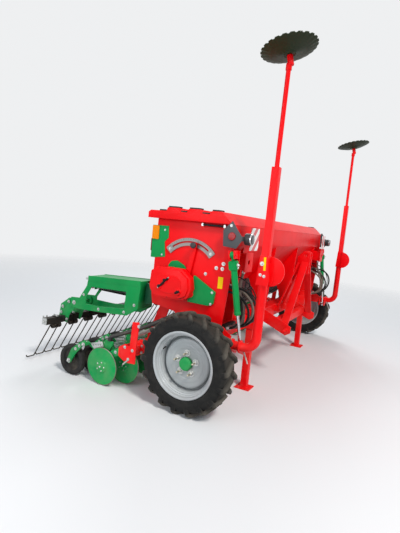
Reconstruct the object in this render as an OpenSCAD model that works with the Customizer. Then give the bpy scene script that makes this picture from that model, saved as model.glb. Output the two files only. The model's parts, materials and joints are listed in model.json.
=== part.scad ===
/* [Overall] */
// Width across the outer faces of the two tyres
overall_w = 3000; // [2900:10:3100]
// Number of sowing rows
rows = 24; // [20:4:24]

/* [Wheels] */
// Outer diameter of a tyre over its lugs
tyre_d = 660; // [640:2:670]
// Width of a tyre
tyre_w = 165; // [155:1:170]
// Height of a lug above the carcass
lug_h = 22; // [14:1:24]
// Number of lugs on each half of the tread
lug_n = 18; // [14:1:20]
// Diameter of the rim where the tyre's bead sits
rim_seat_d = 408; // [400:1:410]
// Number of wheel studs
stud_n = 5; // [4:1:6]
// Pitch circle diameter of the wheel studs
stud_pcd = 140; // [120:1:150]
// Diameter of the stub axle's journal
journal_d = 40; // [36:1:45]

/* [Hopper] */
// Thickness of an end panel
panel_t = 6; // [5:0.5:8]
// Thickness of the hopper's sheet
sheet_t = 4; // [3:0.5:6]
// Height of the hopper's rim above the floor
hopper_top = 1238; // [1210:1:1240]
// Height of the hopper's floor above the ground
hopper_floor = 800; // [790:1:830]
// Height of the lid over its flange
lid_h = 80; // [70:1:90]
// Thickness of the lid's sheet
lid_t = 4; // [3:0.5:6]

/* [Frame] */
// Side of the square front and rear beams
beam_s = 100; // [90:1:110]
// Side of the square bar that carries the coulters
bar_s = 60; // [50:1:64]
// Side of the square tube of a parking stand
stand_s = 50; // [40:1:60]
// Distance from one parking stand to the other
stand_span = 1500; // [1200:10:1600]

/* [Hitch] */
// Distance between the shoulders of the two lower hitch pins
lower_span = 825; // [820:1:830]
// Diameter of a lower hitch pin
lower_pin_d = 28; // [22:0.5:36]
// Length of a lower hitch pin outside its shoulder
lower_pin_len = 80; // [70:1:100]
// Diameter of the bore for the top link's pin
top_bore_d = 25.7; // [19.3:0.1:32]
// Gap between the two ears for the top link
top_gap = 52; // [44:1:60]
// Height from the lower hitch pins to the top link's bore
mast_h = 610; // [560:5:620]

/* [Coulters] */
// Diameter of a coulter disc
disc_d = 275; // [250:1:280]
// Diameter of a press wheel
press_d = 234; // [220:1:240]
// Width of a press wheel
press_w = 48; // [40:1:50]
// How far the short coulters stand in front of the long ones
stagger = 100; // [90:1:110]

/* [Harrow] */
// Side of the square harrow beam
harrow_s = 50; // [40:1:55]
// Number of pairs of tines
tine_pairs = 16; // [12:1:16]
// Diameter of a tine's wire
tine_d = 10; // [8:0.5:12]
// Height of the lowest tine tip above the floor
tine_clear = 12; // [8:1:30]

/* [Markers] */
// Outer diameter of the marker's curved tube
boom_d = 58; // [50:1:60]
// Side of the marker's square tube
pole_s = 46; // [40:1:50]
// Diameter of the marker's upper tube
mast_d = 28; // [24:1:34]
// Diameter of a marker disc
marker_d = 335; // [300:5:350]
// Diameter of the marker cylinder's barrel
barrel_d = 48; // [44:1:52]
// Diameter of the marker cylinder's rod
rod_d = 20; // [16:1:24]

/* [Hidden] */
$fn = 48;
// Running clearance of a shaft in its bore, on the radius
run = 0.05;
// Gap between faces that slide past each other
slide = 0.3;
// Seam between two plates that are bolted or welded together
seam = 0.1;
// Distance between two neighbouring rows
row_pitch = overall_w / rows;

// Colours
red = [0.86, 0.03, 0.06];
green = [0.02, 0.50, 0.22];
dark_green = [0.03, 0.30, 0.16];
silver = [0.72, 0.74, 0.76];
zinc = [0.62, 0.64, 0.64];
rubber = [0.05, 0.05, 0.05];
black = [0.08, 0.08, 0.09];

// Wheels
tyre_r = tyre_d / 2;
wheel_x = overall_w / 2 - tyre_w / 2;
axle_z = tyre_r;
seat_r = rim_seat_d / 2;
flange_r = seat_r + 15;
flange_a = 72;
disc_face = 12;
disc_back = 5;
hub_r = 44;
journal_r = journal_d / 2;

// Side panels and hopper, as places (Y, Z) in front of and above the axle
panel_x = overall_w / 2 - tyre_w - 85;
inner_x = panel_x - panel_t;
hopper_front = 155;
hopper_rear = -437;
hopper_out = [[hopper_rear, hopper_top], [hopper_front, hopper_top], [hopper_front, 1103],
    [-70, hopper_floor], [-190, hopper_floor], [hopper_rear, 1090]];
hopper_in = [[hopper_rear + sheet_t, hopper_top], [hopper_front - sheet_t, hopper_top],
    [hopper_front - sheet_t, 1105], [-72, hopper_floor + sheet_t], [-188, hopper_floor + sheet_t],
    [hopper_rear + sheet_t, 1092]];
lid_z = hopper_top + slide;
lid_rear = -502;
lid_front = 158;
lid_x = panel_x + 35;

// Beams
front_beam_y = 70;
front_beam_z = 520;
rear_beam_y = -370;
rear_beam_z = 680;
bar_y = -465;
bar_z = 300;
stand_x = stand_span / 2;
stand_y = front_beam_y + beam_s / 2 + stand_s / 2 + 7;
stand_top = 620;

// Hitch
pin_y = 330;
pin_z = 430;
top_y = 330;
top_z = pin_z + mast_h;

// Coulters: centre of the disc and of the press wheel behind it, for a long coulter
disc_r = disc_d / 2;
press_r = press_d / 2;
disc_y = -682;
disc_z = disc_r + 4;
press_y = -983;
press_z = press_r;
disc_off = 14;

// Harrow
arm_x0 = panel_x - 140;
arm_x1 = panel_x + 40;
arm_t = 6;
pivot_y = -1160;
pivot_z = 505;
hbeam_y = -1285;
hbeam_z = 351;
hbeam_x = overall_w / 2 - 35;

// Marker: pivot of the boom, rod's eye and top pin of the cylinder
mark_x = panel_x + 40;
mark_z = 480;
eye_x = mark_x - 62;
eye_y = 278;
eye_z = mark_z - 48;
top_pin_x = panel_x + 45;
top_pin_y = 184;
top_pin_z = 1050;
boom_r = boom_d / 2;
bend_r = 80;
boom_y = 400;
fold_z = 951;
pole_top = 1600;
mast_top = 2190;
marker_lean = 1.15;
lean_a = atan2(eye_y - top_pin_y, top_pin_z - eye_z);
lean_b = atan2(top_pin_x - eye_x, norm([eye_y - top_pin_y, top_pin_z - eye_z]));
cyl_len = norm([top_pin_x - eye_x, eye_y - top_pin_y, top_pin_z - eye_z]);

// The origin is on the floor, below the middle of the part's length
tine_reach = 1490;
front_reach = boom_y + marker_d / 2;
axle_y = (tine_reach - front_reach) / 2;

module placed() {
    translate([0, axle_y, 0]) children();
}

module both() {
    children();
    mirror([1, 0, 0]) children();
}

// A plate with its outline in Y and Z, from x0 to x0 + t
module side_plate(x0, t) {
    translate([x0, 0, 0]) rotate([90, 0, 90]) linear_extrude(t) children();
}

// A round bar along X from x0 to x1
module bar_x(x0, x1, y, z, r) {
    translate([x0, y, z]) rotate([0, 90, 0]) cylinder(r = r, h = x1 - x0);
}

// A round bar along Y from y0 to y1
module bar_y(y0, y1, x, z, r) {
    translate([x, y0, z]) rotate([-90, 0, 0]) cylinder(r = r, h = y1 - y0);
}

// A round bar from one point to another
module rod(a, b, r) {
    d = b - a;
    translate(a) rotate([0, acos(d[2] / norm(d)), atan2(d[1], d[0])]) cylinder(r = r, h = norm(d));
}

// A flat bar from one point to another, w wide and t thick
module strap(a, b, w, t) {
    d = b - a;
    translate(a) rotate([0, acos(d[2] / norm(d)), atan2(d[1], d[0])])
        translate([-t / 2, -w / 2, 0]) cube([t, w, norm(d)]);
}

// A square tube along X
module tube_x(x0, x1, y, z, s, t) {
    difference() {
        translate([x0, y - s / 2, z - s / 2]) cube([x1 - x0, s, s]);
        translate([x0 - 1, y - s / 2 + t, z - s / 2 + t]) cube([x1 - x0 + 2, s - 2 * t, s - 2 * t]);
    }
}

// Hopper: a trough of two end sheets, two bent walls and a floor, open at the top
nudge = function(a, b) a + seam / 2 * (b - a) / norm(b - a);
module hopper() color(red) placed() {
    wall_x = inner_x - sheet_t - seam;
    both() side_plate(inner_x - sheet_t, sheet_t) polygon(hopper_out);
    for (k = [1 : 5]) {
        j = (k + 1) % 6;
        side_plate(-wall_x, 2 * wall_x) polygon([nudge(hopper_out[k], hopper_out[j]),
            nudge(hopper_out[j], hopper_out[k]), nudge(hopper_in[j], hopper_in[k]),
            nudge(hopper_in[k], hopper_in[j])]);
    }
}

// Lid: a pressed cover with raised ribs; columns: rear end, front end, height
lid_ribs = [[-385, -305, 1], [-225, -140, 1], [-50, 80, 0.95]];
module lid_outline() {
    low = 0.68 * lid_h;
    polygon([[lid_rear, lid_z], [lid_rear, lid_z + low - 14], [lid_rear + 14, lid_z + low],
        for (r = lid_ribs) each [[r[0] - 12, lid_z + low], [r[0], lid_z + r[2] * lid_h],
            [r[1], lid_z + r[2] * lid_h], if (r[1] < 0) [r[1] + 12, lid_z + low]],
        [lid_front, lid_z]]);
}

module lid() color(red) placed() difference() {
    side_plate(-lid_x, 2 * lid_x) lid_outline();
    side_plate(-lid_x + lid_t, 2 * (lid_x - lid_t)) intersection() {
        translate([0, -lid_t]) lid_outline();
        translate([lid_rear + lid_t, lid_z - lid_t - 1])
            square([lid_front - lid_rear - 3 * lid_t, lid_h + 10]);
    }
}

// End panels: from the lid down to the stub axles
module panel_outline() polygon([[hopper_rear, hopper_top], [hopper_front, hopper_top], [168, 929],
    [134, 571], [120, 420], [70, 240], [-70, 240], [-150, 440], [-235, 600], [-330, 615],
    [-430, 625], [-445, 700]]);

module end_panels() color(red) placed() both()
    side_plate(inner_x, panel_t) panel_outline();

// Front beam with the sockets of the parking stands, the hopper's supports and two stub tubes
module front_beam() color(red) placed() {
    tube_x(-inner_x, inner_x, front_beam_y, front_beam_z, beam_s, 6);
    both() translate([stand_x, stand_y, front_beam_z - beam_s / 2]) difference() {
        translate([-stand_s / 2 - 7, -stand_s / 2 - 7, 0])
            cube([stand_s + 14, stand_s + 14, beam_s]);
        translate([-stand_s / 2 - slide, -stand_s / 2 - slide, -1])
            cube([stand_s + 2 * slide, stand_s + 2 * slide, beam_s + 2]);
    }
}

support_x = [340, panel_x - 210];
stub_x = panel_x - 145;
front_slope = function(z) hopper_front + (z - 1103) * (hopper_front + 70) / (1103 - hopper_floor) + slide;
module hopper_supports() color(red) placed() both() {
    for (x = support_x) side_plate(x - 5, 10)
        polygon([[front_beam_y - 45, front_beam_z + beam_s / 2],
            [front_beam_y + 45, front_beam_z + beam_s / 2], [front_slope(1096), 1096],
            [front_slope(hopper_floor + 5), hopper_floor + 5]]);
    difference() {
        side_plate(stub_x - 55, 110) polygon([[215 - seam, 945], [215 - seam, 1055],
            [front_slope(1055), 1055], [front_slope(945), 945]]);
        translate([stub_x - 49, 130, 951]) cube([98, 130, 98]);
    }
    difference() {
        translate([stub_x - 65, 215, 935]) cube([130, 8, 130]);
        bar_y(210, 230, stub_x, 1000, 16);
    }
}

// Rear beam with the hangers of the coulter bar
hanger_x = [3 * row_pitch - 20, 9 * row_pitch + 22];
hanger_t = 8;
module rear_beam() color(red) placed()
    tube_x(-inner_x, inner_x, rear_beam_y, rear_beam_z, beam_s, 6);

module bar_hangers() color(red) placed() both() for (x = hanger_x)
    side_plate(x - hanger_t / 2, hanger_t) difference() {
        polygon([[rear_beam_y + 40, rear_beam_z - beam_s / 2], [rear_beam_y - 45, rear_beam_z - beam_s / 2],
            [bar_y - 50, bar_z + 60], [bar_y - 50, bar_z - 45], [bar_y + 50, bar_z - 45],
            [bar_y + 50, bar_z + 60]]);
        translate([bar_y - bar_s / 2, bar_z - bar_s / 2]) square(bar_s);
    }

// Headstock for the three-point hitch: foot plates with the lower pins, a cross tube and struts
ear_x = top_gap / 2 + 12 + seam;
module headstock() color(red) placed() {
    foot = lower_span / 2 - 12;
    front = front_beam_y + beam_s / 2;
    both() {
        side_plate(foot, 12 - seam) polygon([[front, front_beam_z - 50], [pin_y, pin_z - 45],
            [pin_y + 40, pin_z - 20], [pin_y + 40, pin_z + 30], [pin_y, pin_z + 50],
            [front, front_beam_z + 50]]);
        bar_x(lower_span / 2, lower_span / 2 + lower_pin_len, pin_y, pin_z, lower_pin_d / 2);
        intersection() {
            strap([foot + 4, pin_y - 20, pin_z + 32], [ear_x, top_y, top_z - 60], 60, 14);
            translate([ear_x, pin_y - 100, pin_z]) cube([foot - ear_x - seam, 200, mast_h]);
        }
        intersection() {
            strap([ear_x + 26, top_y - 50, top_z - 70], [ear_x + 48, front + 24, front_beam_z + 20],
                50, 12);
            translate([ear_x, front, front_beam_z + 40 + seam]) cube([200, 300, mast_h]);
        }
        translate([ear_x + 28, front, front_beam_z - 10]) cube([40, 45, 50]);
    }
    tube_x(-foot + seam, foot - seam, pin_y - 84, pin_z + 45, 60, 5);
}

module headstock_ears() color(red) placed() both() difference() {
    side_plate(top_gap / 2, 12) polygon([[top_y - 60, top_z - 190], [top_y + 40, top_z - 160],
        [top_y + 38, top_z + 20], [top_y + 15, top_z + 38], [top_y - 20, top_z + 38],
        [top_y - 70, top_z - 20]]);
    bar_x(top_gap / 2 - 1, top_gap / 2 + 13, top_y, top_z, top_bore_d / 2);
}

// Metering units: one housing over each row, with its outlet funnel
unit_pitch = (2 * panel_x - 100) / rows;
unit_w = 72;
unit_z = 690;
shaft_y = -110;
shaft_z = 748;
module unit_x(i) translate([(i - (rows - 1) / 2) * unit_pitch, 0, 0]) children();

module metering_units() color(zinc) placed() for (i = [0 : rows - 1]) unit_x(i) difference() {
    side_plate(-unit_w / 2, unit_w)
        polygon([[-186, hopper_floor], [-74, hopper_floor], [-62, 770], [-66, 716], [-96, unit_z],
            [-172, unit_z], [-190, 716], [-194, 760]]);
    bar_x(-unit_w, unit_w, shaft_y, shaft_z, 10 + slide);
}

module seed_shaft() color(zinc) placed()
    bar_x(-inner_x + 40, inner_x, shaft_y, shaft_z, 10);

// Seed tubes: a wide upper and a narrow lower tube for each row
row_x = function(i) (i - (rows - 1) / 2) * row_pitch;
is_front = function(i) (i < rows / 2 ? i : rows - 1 - i) % 2 == 1;
row_shift = function(i) is_front(i) ? stagger : 0;
tube_top = function(i) [(i - (rows - 1) / 2) * unit_pitch, -134, unit_z - 20];
tube_end = function(i) [row_x(i) - 21 * sign(row_x(i)), disc_y + row_shift(i) + 30, boot_z + 14];
module seed_tubes() color(black) placed() for (i = [0 : rows - 1]) {
    a = tube_top(i);
    b = tube_end(i);
    m = a + 0.55 * (b - a);
    rod(a, m, 18);
    rod(a, b, 14);
    translate([a[0], a[1], unit_z - 36]) cylinder(r = 25, h = 36 - slide);
    translate([b[0], b[1], boot_z + slide]) cylinder(r = 17, h = 26);
}

// Gearbox that drives the seed shaft, with ribs on its cover
gear_x = panel_x + 25;
gear_c = [-250, 806];
gear_outline = [[-416, 772], [-408, 873], [-358, 909], [-265, 913], [-165, 913], [-93, 860],
    [-80, 787], [-100, 727], [-142, 705], [-266, 698], [-372, 700], [-407, 744]];
module gearbox() color(red) placed() {
    side_plate(gear_x, 48) polygon(gear_outline);
    translate([gear_x + 48, gear_c[0], gear_c[1]]) rotate([90, 0, 90]) linear_extrude(14)
        scale([0.9, 0.88]) translate([-gear_c[0], -gear_c[1]]) polygon(gear_outline);
    side_plate(panel_x, gear_x - panel_x) translate([-390, 720]) square([120, 160]);
    bar_x(panel_x, gear_x, shaft_y, shaft_z, 24);
    for (p = [[-279, 823], [-321, 777], [-170, 758]]) bar_x(gear_x + 60, gear_x + 74, p[0], p[1], 20);
}

// Lever on the gearbox that sets the seed rate, and the slotted scale behind it
lever_c = [-152, 865];
lever_a = 14;
lever_x = panel_x + 12;
guard_t = 9;
module gearbox_lever() color(red) placed() {
    bar_x(panel_x + guard_t, gear_x, lever_c[0], lever_c[1], 16);
    translate([lever_x, lever_c[0], lever_c[1]]) rotate([-lever_a, 0, 0]) {
        side_plate(0, 8) polygon([[-24, -24], [24, -24], [20, 190], [9, 262], [-9, 262], [-20, 190]]);
        translate([8, 0, 246]) rotate([0, 90, 0]) cylinder(r = 17, h = 32);
    }
}

module sector(r1, r2, a) intersection() {
    difference() {
        circle(r = r1, $fn = 96);
        circle(r = r2, $fn = 96);
    }
    polygon([[0, 0], [-400 * tan(a), 400], [400 * tan(a), 400]]);
}

module scale_quadrant() color(zinc) placed() translate([panel_x, lever_c[0], lever_c[1]])
{
    side_plate(4, 4) difference() {
        sector(283, 228, 48);
        sector(262, 250, 41);
    }
    for (a = [-44.5, 44.5]) bar_x(0, 4.5, 255 * sin(a), 255 * cos(a), 9);
}

module chain_guard() color(green) placed() {
    side_plate(panel_x, guard_t)
        polygon([[-262, 958], [-240, 960], [-114, 880], [-114, 790], [-262, 790]]);
    side_plate(panel_x, 30) polygon([[-75, 862], [57, 787], [40, 682], [-23, 676], [-75, 690]]);
}

// Coulter bar with end plates and pressure lever
module hex_plate(r) rotate(30) circle(r = r, $fn = 6);

module coulter_bar() color(red) placed() {
    end_x = overall_w / 2 - 30;
    tube_x(-end_x, end_x, bar_y, bar_z, bar_s, 5);
    both() {
        side_plate(end_x, 8) translate([bar_y, bar_z]) hex_plate(bar_s + 2);
        side_plate(end_x, 8) translate([bar_y, bar_z])
            polygon([[20, -66], [92, -60], [92, 40], [104, 232], [48, 224], [40, 60], [0, 40]]);
    }
}

module row(i) translate([row_x(i), 0, 0]) {
    if (row_x(i) > 0) children();
    else mirror([1, 0, 0]) children();
}

module coulter_clamps() color(red) placed() for (i = [0 : rows - 1]) row(i) {
    side_plate(-24, 48) difference() {
        translate([bar_y, bar_z]) hex_plate(clamp_r);
        translate([bar_y - bar_s / 2, bar_z - bar_s / 2]) square(bar_s);
    }
}

// Coulter arms: a curved arm from the clamp to the disc's hub, and the seed boot
clamp_r = 58;
clamp_y = bar_y - clamp_r * cos(30);
module arm_outline(dy) {
    translate([dy, disc_z]) circle(r = 34);
    polygon([[clamp_y, bar_z + 24], [clamp_y, bar_z - 26], [dy + 60, disc_z + 60],
        [dy + 33, disc_z + 8], [dy - 33, disc_z + 8], [dy - 20, disc_z + 80]]);
}

boot_z = disc_z + 186;
module coulter_arms() color(green) placed() for (i = [0 : rows - 1]) row(i) {
    dy = disc_y + row_shift(i);
    side_plate(-8, 14) arm_outline(dy);
    bar_x(-10, 18, dy, disc_z, 15);
    side_plate(-28, 14) polygon([[dy - 28, disc_z - 120], [dy - 60, disc_z - 100],
        [dy - 72, disc_z + 60], [dy - 2, boot_z], [dy + 62, boot_z],
        [dy + 62, boot_z - 24], [dy + 20, disc_z + 100]]);
    bar_x(-15, -7, dy, disc_z + 40, 12);
}

// Arms of the press wheels
module press_arms() color(green) placed() for (i = [0 : rows - 1]) row(i) {
    dy = disc_y + row_shift(i);
    py = press_y + row_shift(i);
    side_plate(30, 12) {
        translate([py, press_z]) circle(r = 20);
        polygon([[py - 17, press_z + 10], [py + 19, press_z - 6], [py + 62, press_z + 66],
            [py + 128, press_z + 138], [py + 158, press_z + 172], [py + 140, press_z + 186],
            [py + 100, press_z + 160], [py + 20, press_z + 96]]);
    }
    bar_x(-13, 42, dy - 165, disc_z + 128, 14);
    side_plate(-13, 5) polygon([[dy - 180, disc_z + 146], [dy - 152, disc_z + 114],
        [dy - 24, disc_z + 58], [dy + 20, disc_z + 70], [dy - 20, disc_z + 96]]);
    bar_x(-22, 31, py, press_z, 8);
}

// Zinc plates with holes that set the press wheel's depth
module depth_plates() color(zinc) placed() for (i = [0 : rows - 1]) row(i) {
    dy = disc_y + row_shift(i);
    side_plate(-8, 5) difference() {
        polygon([[dy - 142, disc_z + 136], [dy - 28, disc_z + 172], [dy - 10, disc_z + 138],
            [dy - 96, disc_z + 98]]);
        for (k = [0 : 3]) translate([dy - 110 + 24 * k, disc_z + 128 + 5 * k]) circle(r = 5);
    }
}

// Coulter discs: flat with a dished hub
module disc_shape() rotate([0, 90, 0]) rotate_extrude($fn = 64)
    polygon([[0, 22], [26, 22], [44, 12], [52, 5], [disc_r - 3, 4], [disc_r, 1], [disc_r - 3, 0],
        [30, 0], [30, -4], [15 + run, -4], [15 + run, 5], [0, 5]]);

module disc_row(front) for (i = [0 : rows - 1]) if (is_front(i) == front) row(i)
    translate([disc_off, disc_y + row_shift(i), disc_z]) disc_shape();

module discs_front() color(green) placed() disc_row(true);
module discs_rear() color(green) placed() disc_row(false);

// Press wheels: narrow rubber tyres on a plain centre
module press_shape() rotate([0, 90, 0]) rotate_extrude($fn = 64)
    polygon([[8 + run, -16], [30, -16], [34, -8], [80, -8], [84, -press_w / 2], [press_r - 10, -press_w / 2],
        [press_r, -press_w / 4], [press_r, press_w / 4], [press_r - 10, press_w / 2],
        [84, press_w / 2], [80, 8], [34, 8], [30, 16], [8 + run, 16]]);

module press_row(front) for (i = [0 : rows - 1]) if (is_front(i) == front) row(i)
    translate([0, press_y + row_shift(i), press_z]) press_shape();

module press_wheels_front() color(rubber) placed() press_row(true);
module press_wheels_rear() color(rubber) placed() press_row(false);

// Harrow: brackets on the rear beam, box arms, spindles, beam and tines
module harrow_brackets() color(dark_green) placed() both() {
    back = rear_beam_y - beam_s / 2;
    for (x = [panel_x - 70, panel_x - 28]) side_plate(x, 8)
        polygon([[back, 735], [back, 628], [-500, 600], [-512, 600], [-512, 760], [-460, 750]]);
}

arm_outer = [[-512, 772], [-1020, 740], [-1035, 660], [-1105, 553], [-1195, 545], [-1200, 470],
    [-1100, 462], [-900, 476], [-625, 500], [-530, 560]];
arm_window = [[-642, 655], [-985, 632], [-1030, 560], [-1030, 516], [-900, 520], [-650, 548]];
web_y = -1020;
arm_mid = (arm_x0 + arm_x1) / 2;
spindle_z = 700;
module harrow_arms() color(green) placed() both() {
    for (x = [arm_x0, arm_x1 - arm_t]) side_plate(x, arm_t) difference() {
        polygon(arm_outer);
        polygon(arm_window);
    }
    side_plate(arm_x0, arm_x1 - arm_x0) {
        polygon([[-512, 772], [-1020, 740], [-1020, 734], [-512, 766]]);
        polygon([[-512, 768], [-528, 562], [-534, 562], [-518, 768]]);
    }
    difference() {
        side_plate(arm_x0, arm_x1 - arm_x0) polygon([[web_y, 738], [web_y, 662], [web_y - 6, 662],
            [web_y - 6, 738]]);
        bar_y(web_y - 10, web_y + 10, arm_mid, spindle_z, 10);
    }
    bar_x(arm_x0, arm_x1, pivot_y, pivot_z, 12);
}

module harrow_spindles() color(zinc) placed() both() {
    bar_y(-1130, -524, arm_mid, spindle_z, 9);
    bar_y(-760, -560, arm_mid, spindle_z, 22);
    for (y = [web_y + slide, web_y - 6 - slide - 14])
        translate([arm_mid, y, spindle_z]) rotate([-90, 0, 0]) cylinder(r = 17, h = 14, $fn = 6);
}

// Plates that swing on the arms' rear pins and carry the harrow beam
module swing_plate() difference() {
    union() {
        translate([pivot_y, pivot_z]) circle(r = 34);
        polygon([[pivot_y + 20, pivot_z - 28], [pivot_y - 5, pivot_z + 33], [-1230, 530], [-1318, 465],
            [-1335, 352], [-1322, 330], [-1245, 322], [-1215, 400]]);
    }
    translate([pivot_y, pivot_z]) circle(r = 12 + run);
}

module harrow_beam() color(black) placed() {
    tube_x(-hbeam_x, hbeam_x, hbeam_y, hbeam_z, harrow_s, 4);
    both() for (x = [arm_x0 + arm_t + 6, arm_x1 - arm_t - 14]) side_plate(x, 8) difference() {
        swing_plate();
        translate([hbeam_y - harrow_s / 2, hbeam_z - harrow_s / 2]) square(harrow_s);
    }
}

tine_r = tine_d / 2;
tine_gap = (overall_w / 2 - 60) / tine_pairs;
tine_tip = [-1470, tine_clear + tine_r + 0.5];
tine_knee = [-1285, hbeam_z - harrow_s / 2 - 24];
module tine(side, coil) {
    rod([0, tine_knee[0] - 12, tine_knee[1]], [0, tine_tip[0], tine_tip[1]], tine_r);
    bar_x(min(-tine_r - 1, side * 46), max(tine_r + 1, side * 46), tine_tip[0], tine_tip[1], tine_r + 0.5);
    bar_x(min(-5, coil * 30), max(5, coil * 30), tine_knee[0], tine_knee[1], 22);
}

module harrow_tines() color(black) placed() for (i = [0 : tine_pairs - 1]) {
    x = (i - (tine_pairs - 1) / 2) * 2 * tine_gap;
    for (s = [-1, 1]) translate([x + s * tine_gap / 2, 0, 0]) tine(x > 0 ? 1 : -1, -s);
    translate([x - 20, hbeam_y - 20, hbeam_z - harrow_s / 2 - 8]) cube([40, 40, 8]);
    bar_x(x - tine_gap / 2, x + tine_gap / 2, tine_knee[0], tine_knee[1] + 16, 5);
}

// Lamps and boards
module light_brackets() color(green) placed() both() {
    side_plate(panel_x, 4) polygon([[-475, 1182], [-395, 1184], [-400, 1090], [-425, 1060],
        [-412, 965], [-470, 958]]);
    translate([panel_x - 160, -475, 958]) cube([164, 4, 224]);
}

module rear_lamps() color([0.6, 0.02, 0.02]) placed() both()
    translate([panel_x - 150, -515, 1000]) cube([110, 40, 90]);

module reflectors() color([1, 0.4, 0.02]) placed() both()
    translate([panel_x - 35, -515, 1087]) cube([39, 40, 97]);

board_y = 231;
module board_brackets() color([0.32, 0.34, 0.35]) placed() both() {
    side_plate(lid_x + 6, 4) polygon([[108, 1098], [100, 1200], [160, 1262], [200, 1208],
        [board_y, 1170], [board_y, 1138], [200, 1090], [150, 1094]]);
    translate([panel_x, 110, 1110]) cube([lid_x + 7 - panel_x, 30, 60]);
    translate([panel_x - 250, board_y - 5, 1140]) cube([lid_x + 257 - panel_x, 5, 30]);
}

module striped_boards() color([0.9, 0.9, 0.88]) placed() both()
    translate([panel_x - 250, board_y, 1080]) cube([150, 3, 150]);

module front_lamps() color(black) placed() both() translate([panel_x - 25, board_y, 1155])
    rotate([-90, 0, 0]) cylinder(r = 38, h = 40);

// Stub axles with their mounting flanges on the end panels
module axles() color(zinc) placed() both() {
    translate([panel_x, -80, axle_z - 80]) cube([12, 160, 160]);
    bar_x(panel_x + 12, wheel_x - 75, 0, axle_z, 34);
    bar_x(wheel_x - 75, wheel_x - 2, 0, axle_z, journal_r);
}

// Tyre: a rounded carcass with two rows of slanted lugs
carcass_r = tyre_r - lug_h;
side_r = (carcass_r - seat_r) / 2;
lug_w = 26;
lug_a = 40;
lug_len = (tyre_w / 2 - lug_w / 2 * sin(lug_a)) / cos(lug_a);
lug_shift = lug_len / 4;
lug_reach = lug_shift + lug_w / 2 * cos(lug_a) + 2 * sin(lug_a);
lug_top = sqrt(pow(tyre_r, 2) - pow(lug_reach, 2));
lug_phase = -asin(lug_reach / tyre_r);
module lug() rotate([90, 0, 0]) translate([0, 0, -lug_w / 2]) linear_extrude(lug_w)
    polygon([[-8, carcass_r - 8], [-2, lug_top], [lug_len * 0.72, lug_top],
        [lug_len * 0.92, lug_top - 20], [lug_len, lug_top - 50], [lug_len * 0.8, lug_top - 62]]);

module tyre() union() {
    rotate([0, 90, 0]) rotate_extrude($fn = 64) {
        for (s = [-1, 1]) translate([seat_r + side_r, s * (tyre_w / 2 - side_r)]) circle(r = side_r);
        translate([seat_r, -tyre_w / 2 + side_r]) square([2 * side_r, tyre_w - 2 * side_r]);
        translate([seat_r, 5 - flange_a]) square([20, 2 * flange_a - 10]);
    }
    for (i = [0 : lug_n - 1], s = [0, 1]) rotate([(i + s / 2) * 360 / lug_n + lug_phase, 0, 0])
        mirror([s, 0, 0]) translate([0, -lug_shift, 0]) rotate([0, 0, lug_a]) lug();
}

// Rim: a well rim with a dished disc
module rim() difference() {
    rotate([0, 90, 0]) rotate_extrude($fn = 64) {
        polygon([[flange_r, flange_a], [flange_r, flange_a - 5], [seat_r, flange_a - 5], [seat_r, 42],
            [184, 32], [184, -25], [seat_r, -40], [seat_r, 5 - flange_a], [flange_r, 5 - flange_a],
            [flange_r, -flange_a], [seat_r - 5, -flange_a], [seat_r - 5, -42], [179, -28], [179, 34],
            [seat_r - 5, 45], [seat_r - 5, flange_a]]);
        polygon([[47, disc_face], [128, disc_face], [150, 24], [168, 30], [182, 30], [182, 24],
            [170, 24], [153, 17], [132, disc_back], [47, disc_back]]);
    }
    for (i = [0 : stud_n - 1]) rotate([i * 360 / stud_n, 0, 0])
        bar_x(0, 30, 0, stud_pcd / 2, 8.5);
}

module hub() {
    difference() {
        union() {
            bar_x(-72, disc_back, 0, 0, 42);
            bar_x(-8, disc_back, 0, 0, 88);
        }
        bar_x(-73, 1, 0, 0, journal_r + run);
    }
    for (i = [0 : stud_n - 1]) rotate([i * 360 / stud_n, 0, 0]) {
        bar_x(0, 58, 0, stud_pcd / 2, 7);
        bar_x(disc_face, 28, 0, stud_pcd / 2, 13);
    }
}

module hub_cap() {
    bar_x(disc_back, 34, 0, 0, hub_r);
    translate([34, 0, 0]) rotate([0, 90, 0]) cylinder(r1 = hub_r, r2 = hub_r - 8, h = 6, $fn = 48);
}

module at_wheel(s) mirror([s < 0 ? 1 : 0, 0, 0]) translate([wheel_x, 0, axle_z]) children();

module tyre_right() color(rubber) placed() at_wheel(1) tyre();
module tyre_left() color(rubber) placed() at_wheel(-1) tyre();
module rim_right() color(silver) placed() at_wheel(1) rim();
module rim_left() color(silver) placed() at_wheel(-1) rim();
module hub_right() color(zinc) placed() at_wheel(1) hub();
module hub_left() color(zinc) placed() at_wheel(-1) hub();
module hub_cap_right() color(green) placed() at_wheel(1) hub_cap();
module hub_cap_left() color(green) placed() at_wheel(-1) hub_cap();

// Marker brackets: the boom's bearing and the upper pin of the cylinder
sleeve_y0 = 140;
sleeve_y1 = 214;
module cylinder_frame() translate([top_pin_x, top_pin_y, top_pin_z]) rotate([lean_a, 0, 0]) children();

module marker_brackets() color(red) placed() both() {
    difference() {
        union() {
            bar_y(sleeve_y0, sleeve_y1, mark_x, mark_z, boom_r + 8);
            side_plate(panel_x, 8) polygon([[60, 440], [sleeve_y1, 440], [sleeve_y1, 520],
                [150, 570], [60, 570]]);
            translate([panel_x, sleeve_y0, mark_z - 26]) cube([20, 74, 52]);
        }
        bar_y(sleeve_y0 - 1, sleeve_y1 + 1, mark_x, mark_z, boom_r + run);
    }
    side_plate(panel_x, 6) polygon([[110, 1000], [215, 1000], [215, 1080], [110, 1080]]);
    cylinder_frame() {
        for (y = [-22, 14])
            translate([panel_x - top_pin_x + 1, y, -26]) cube([top_pin_x - panel_x + 21, 8, 52]);
        bar_y(-26, 26, 0, 0, 10);
    }
}

ear_t = 8;

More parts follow.
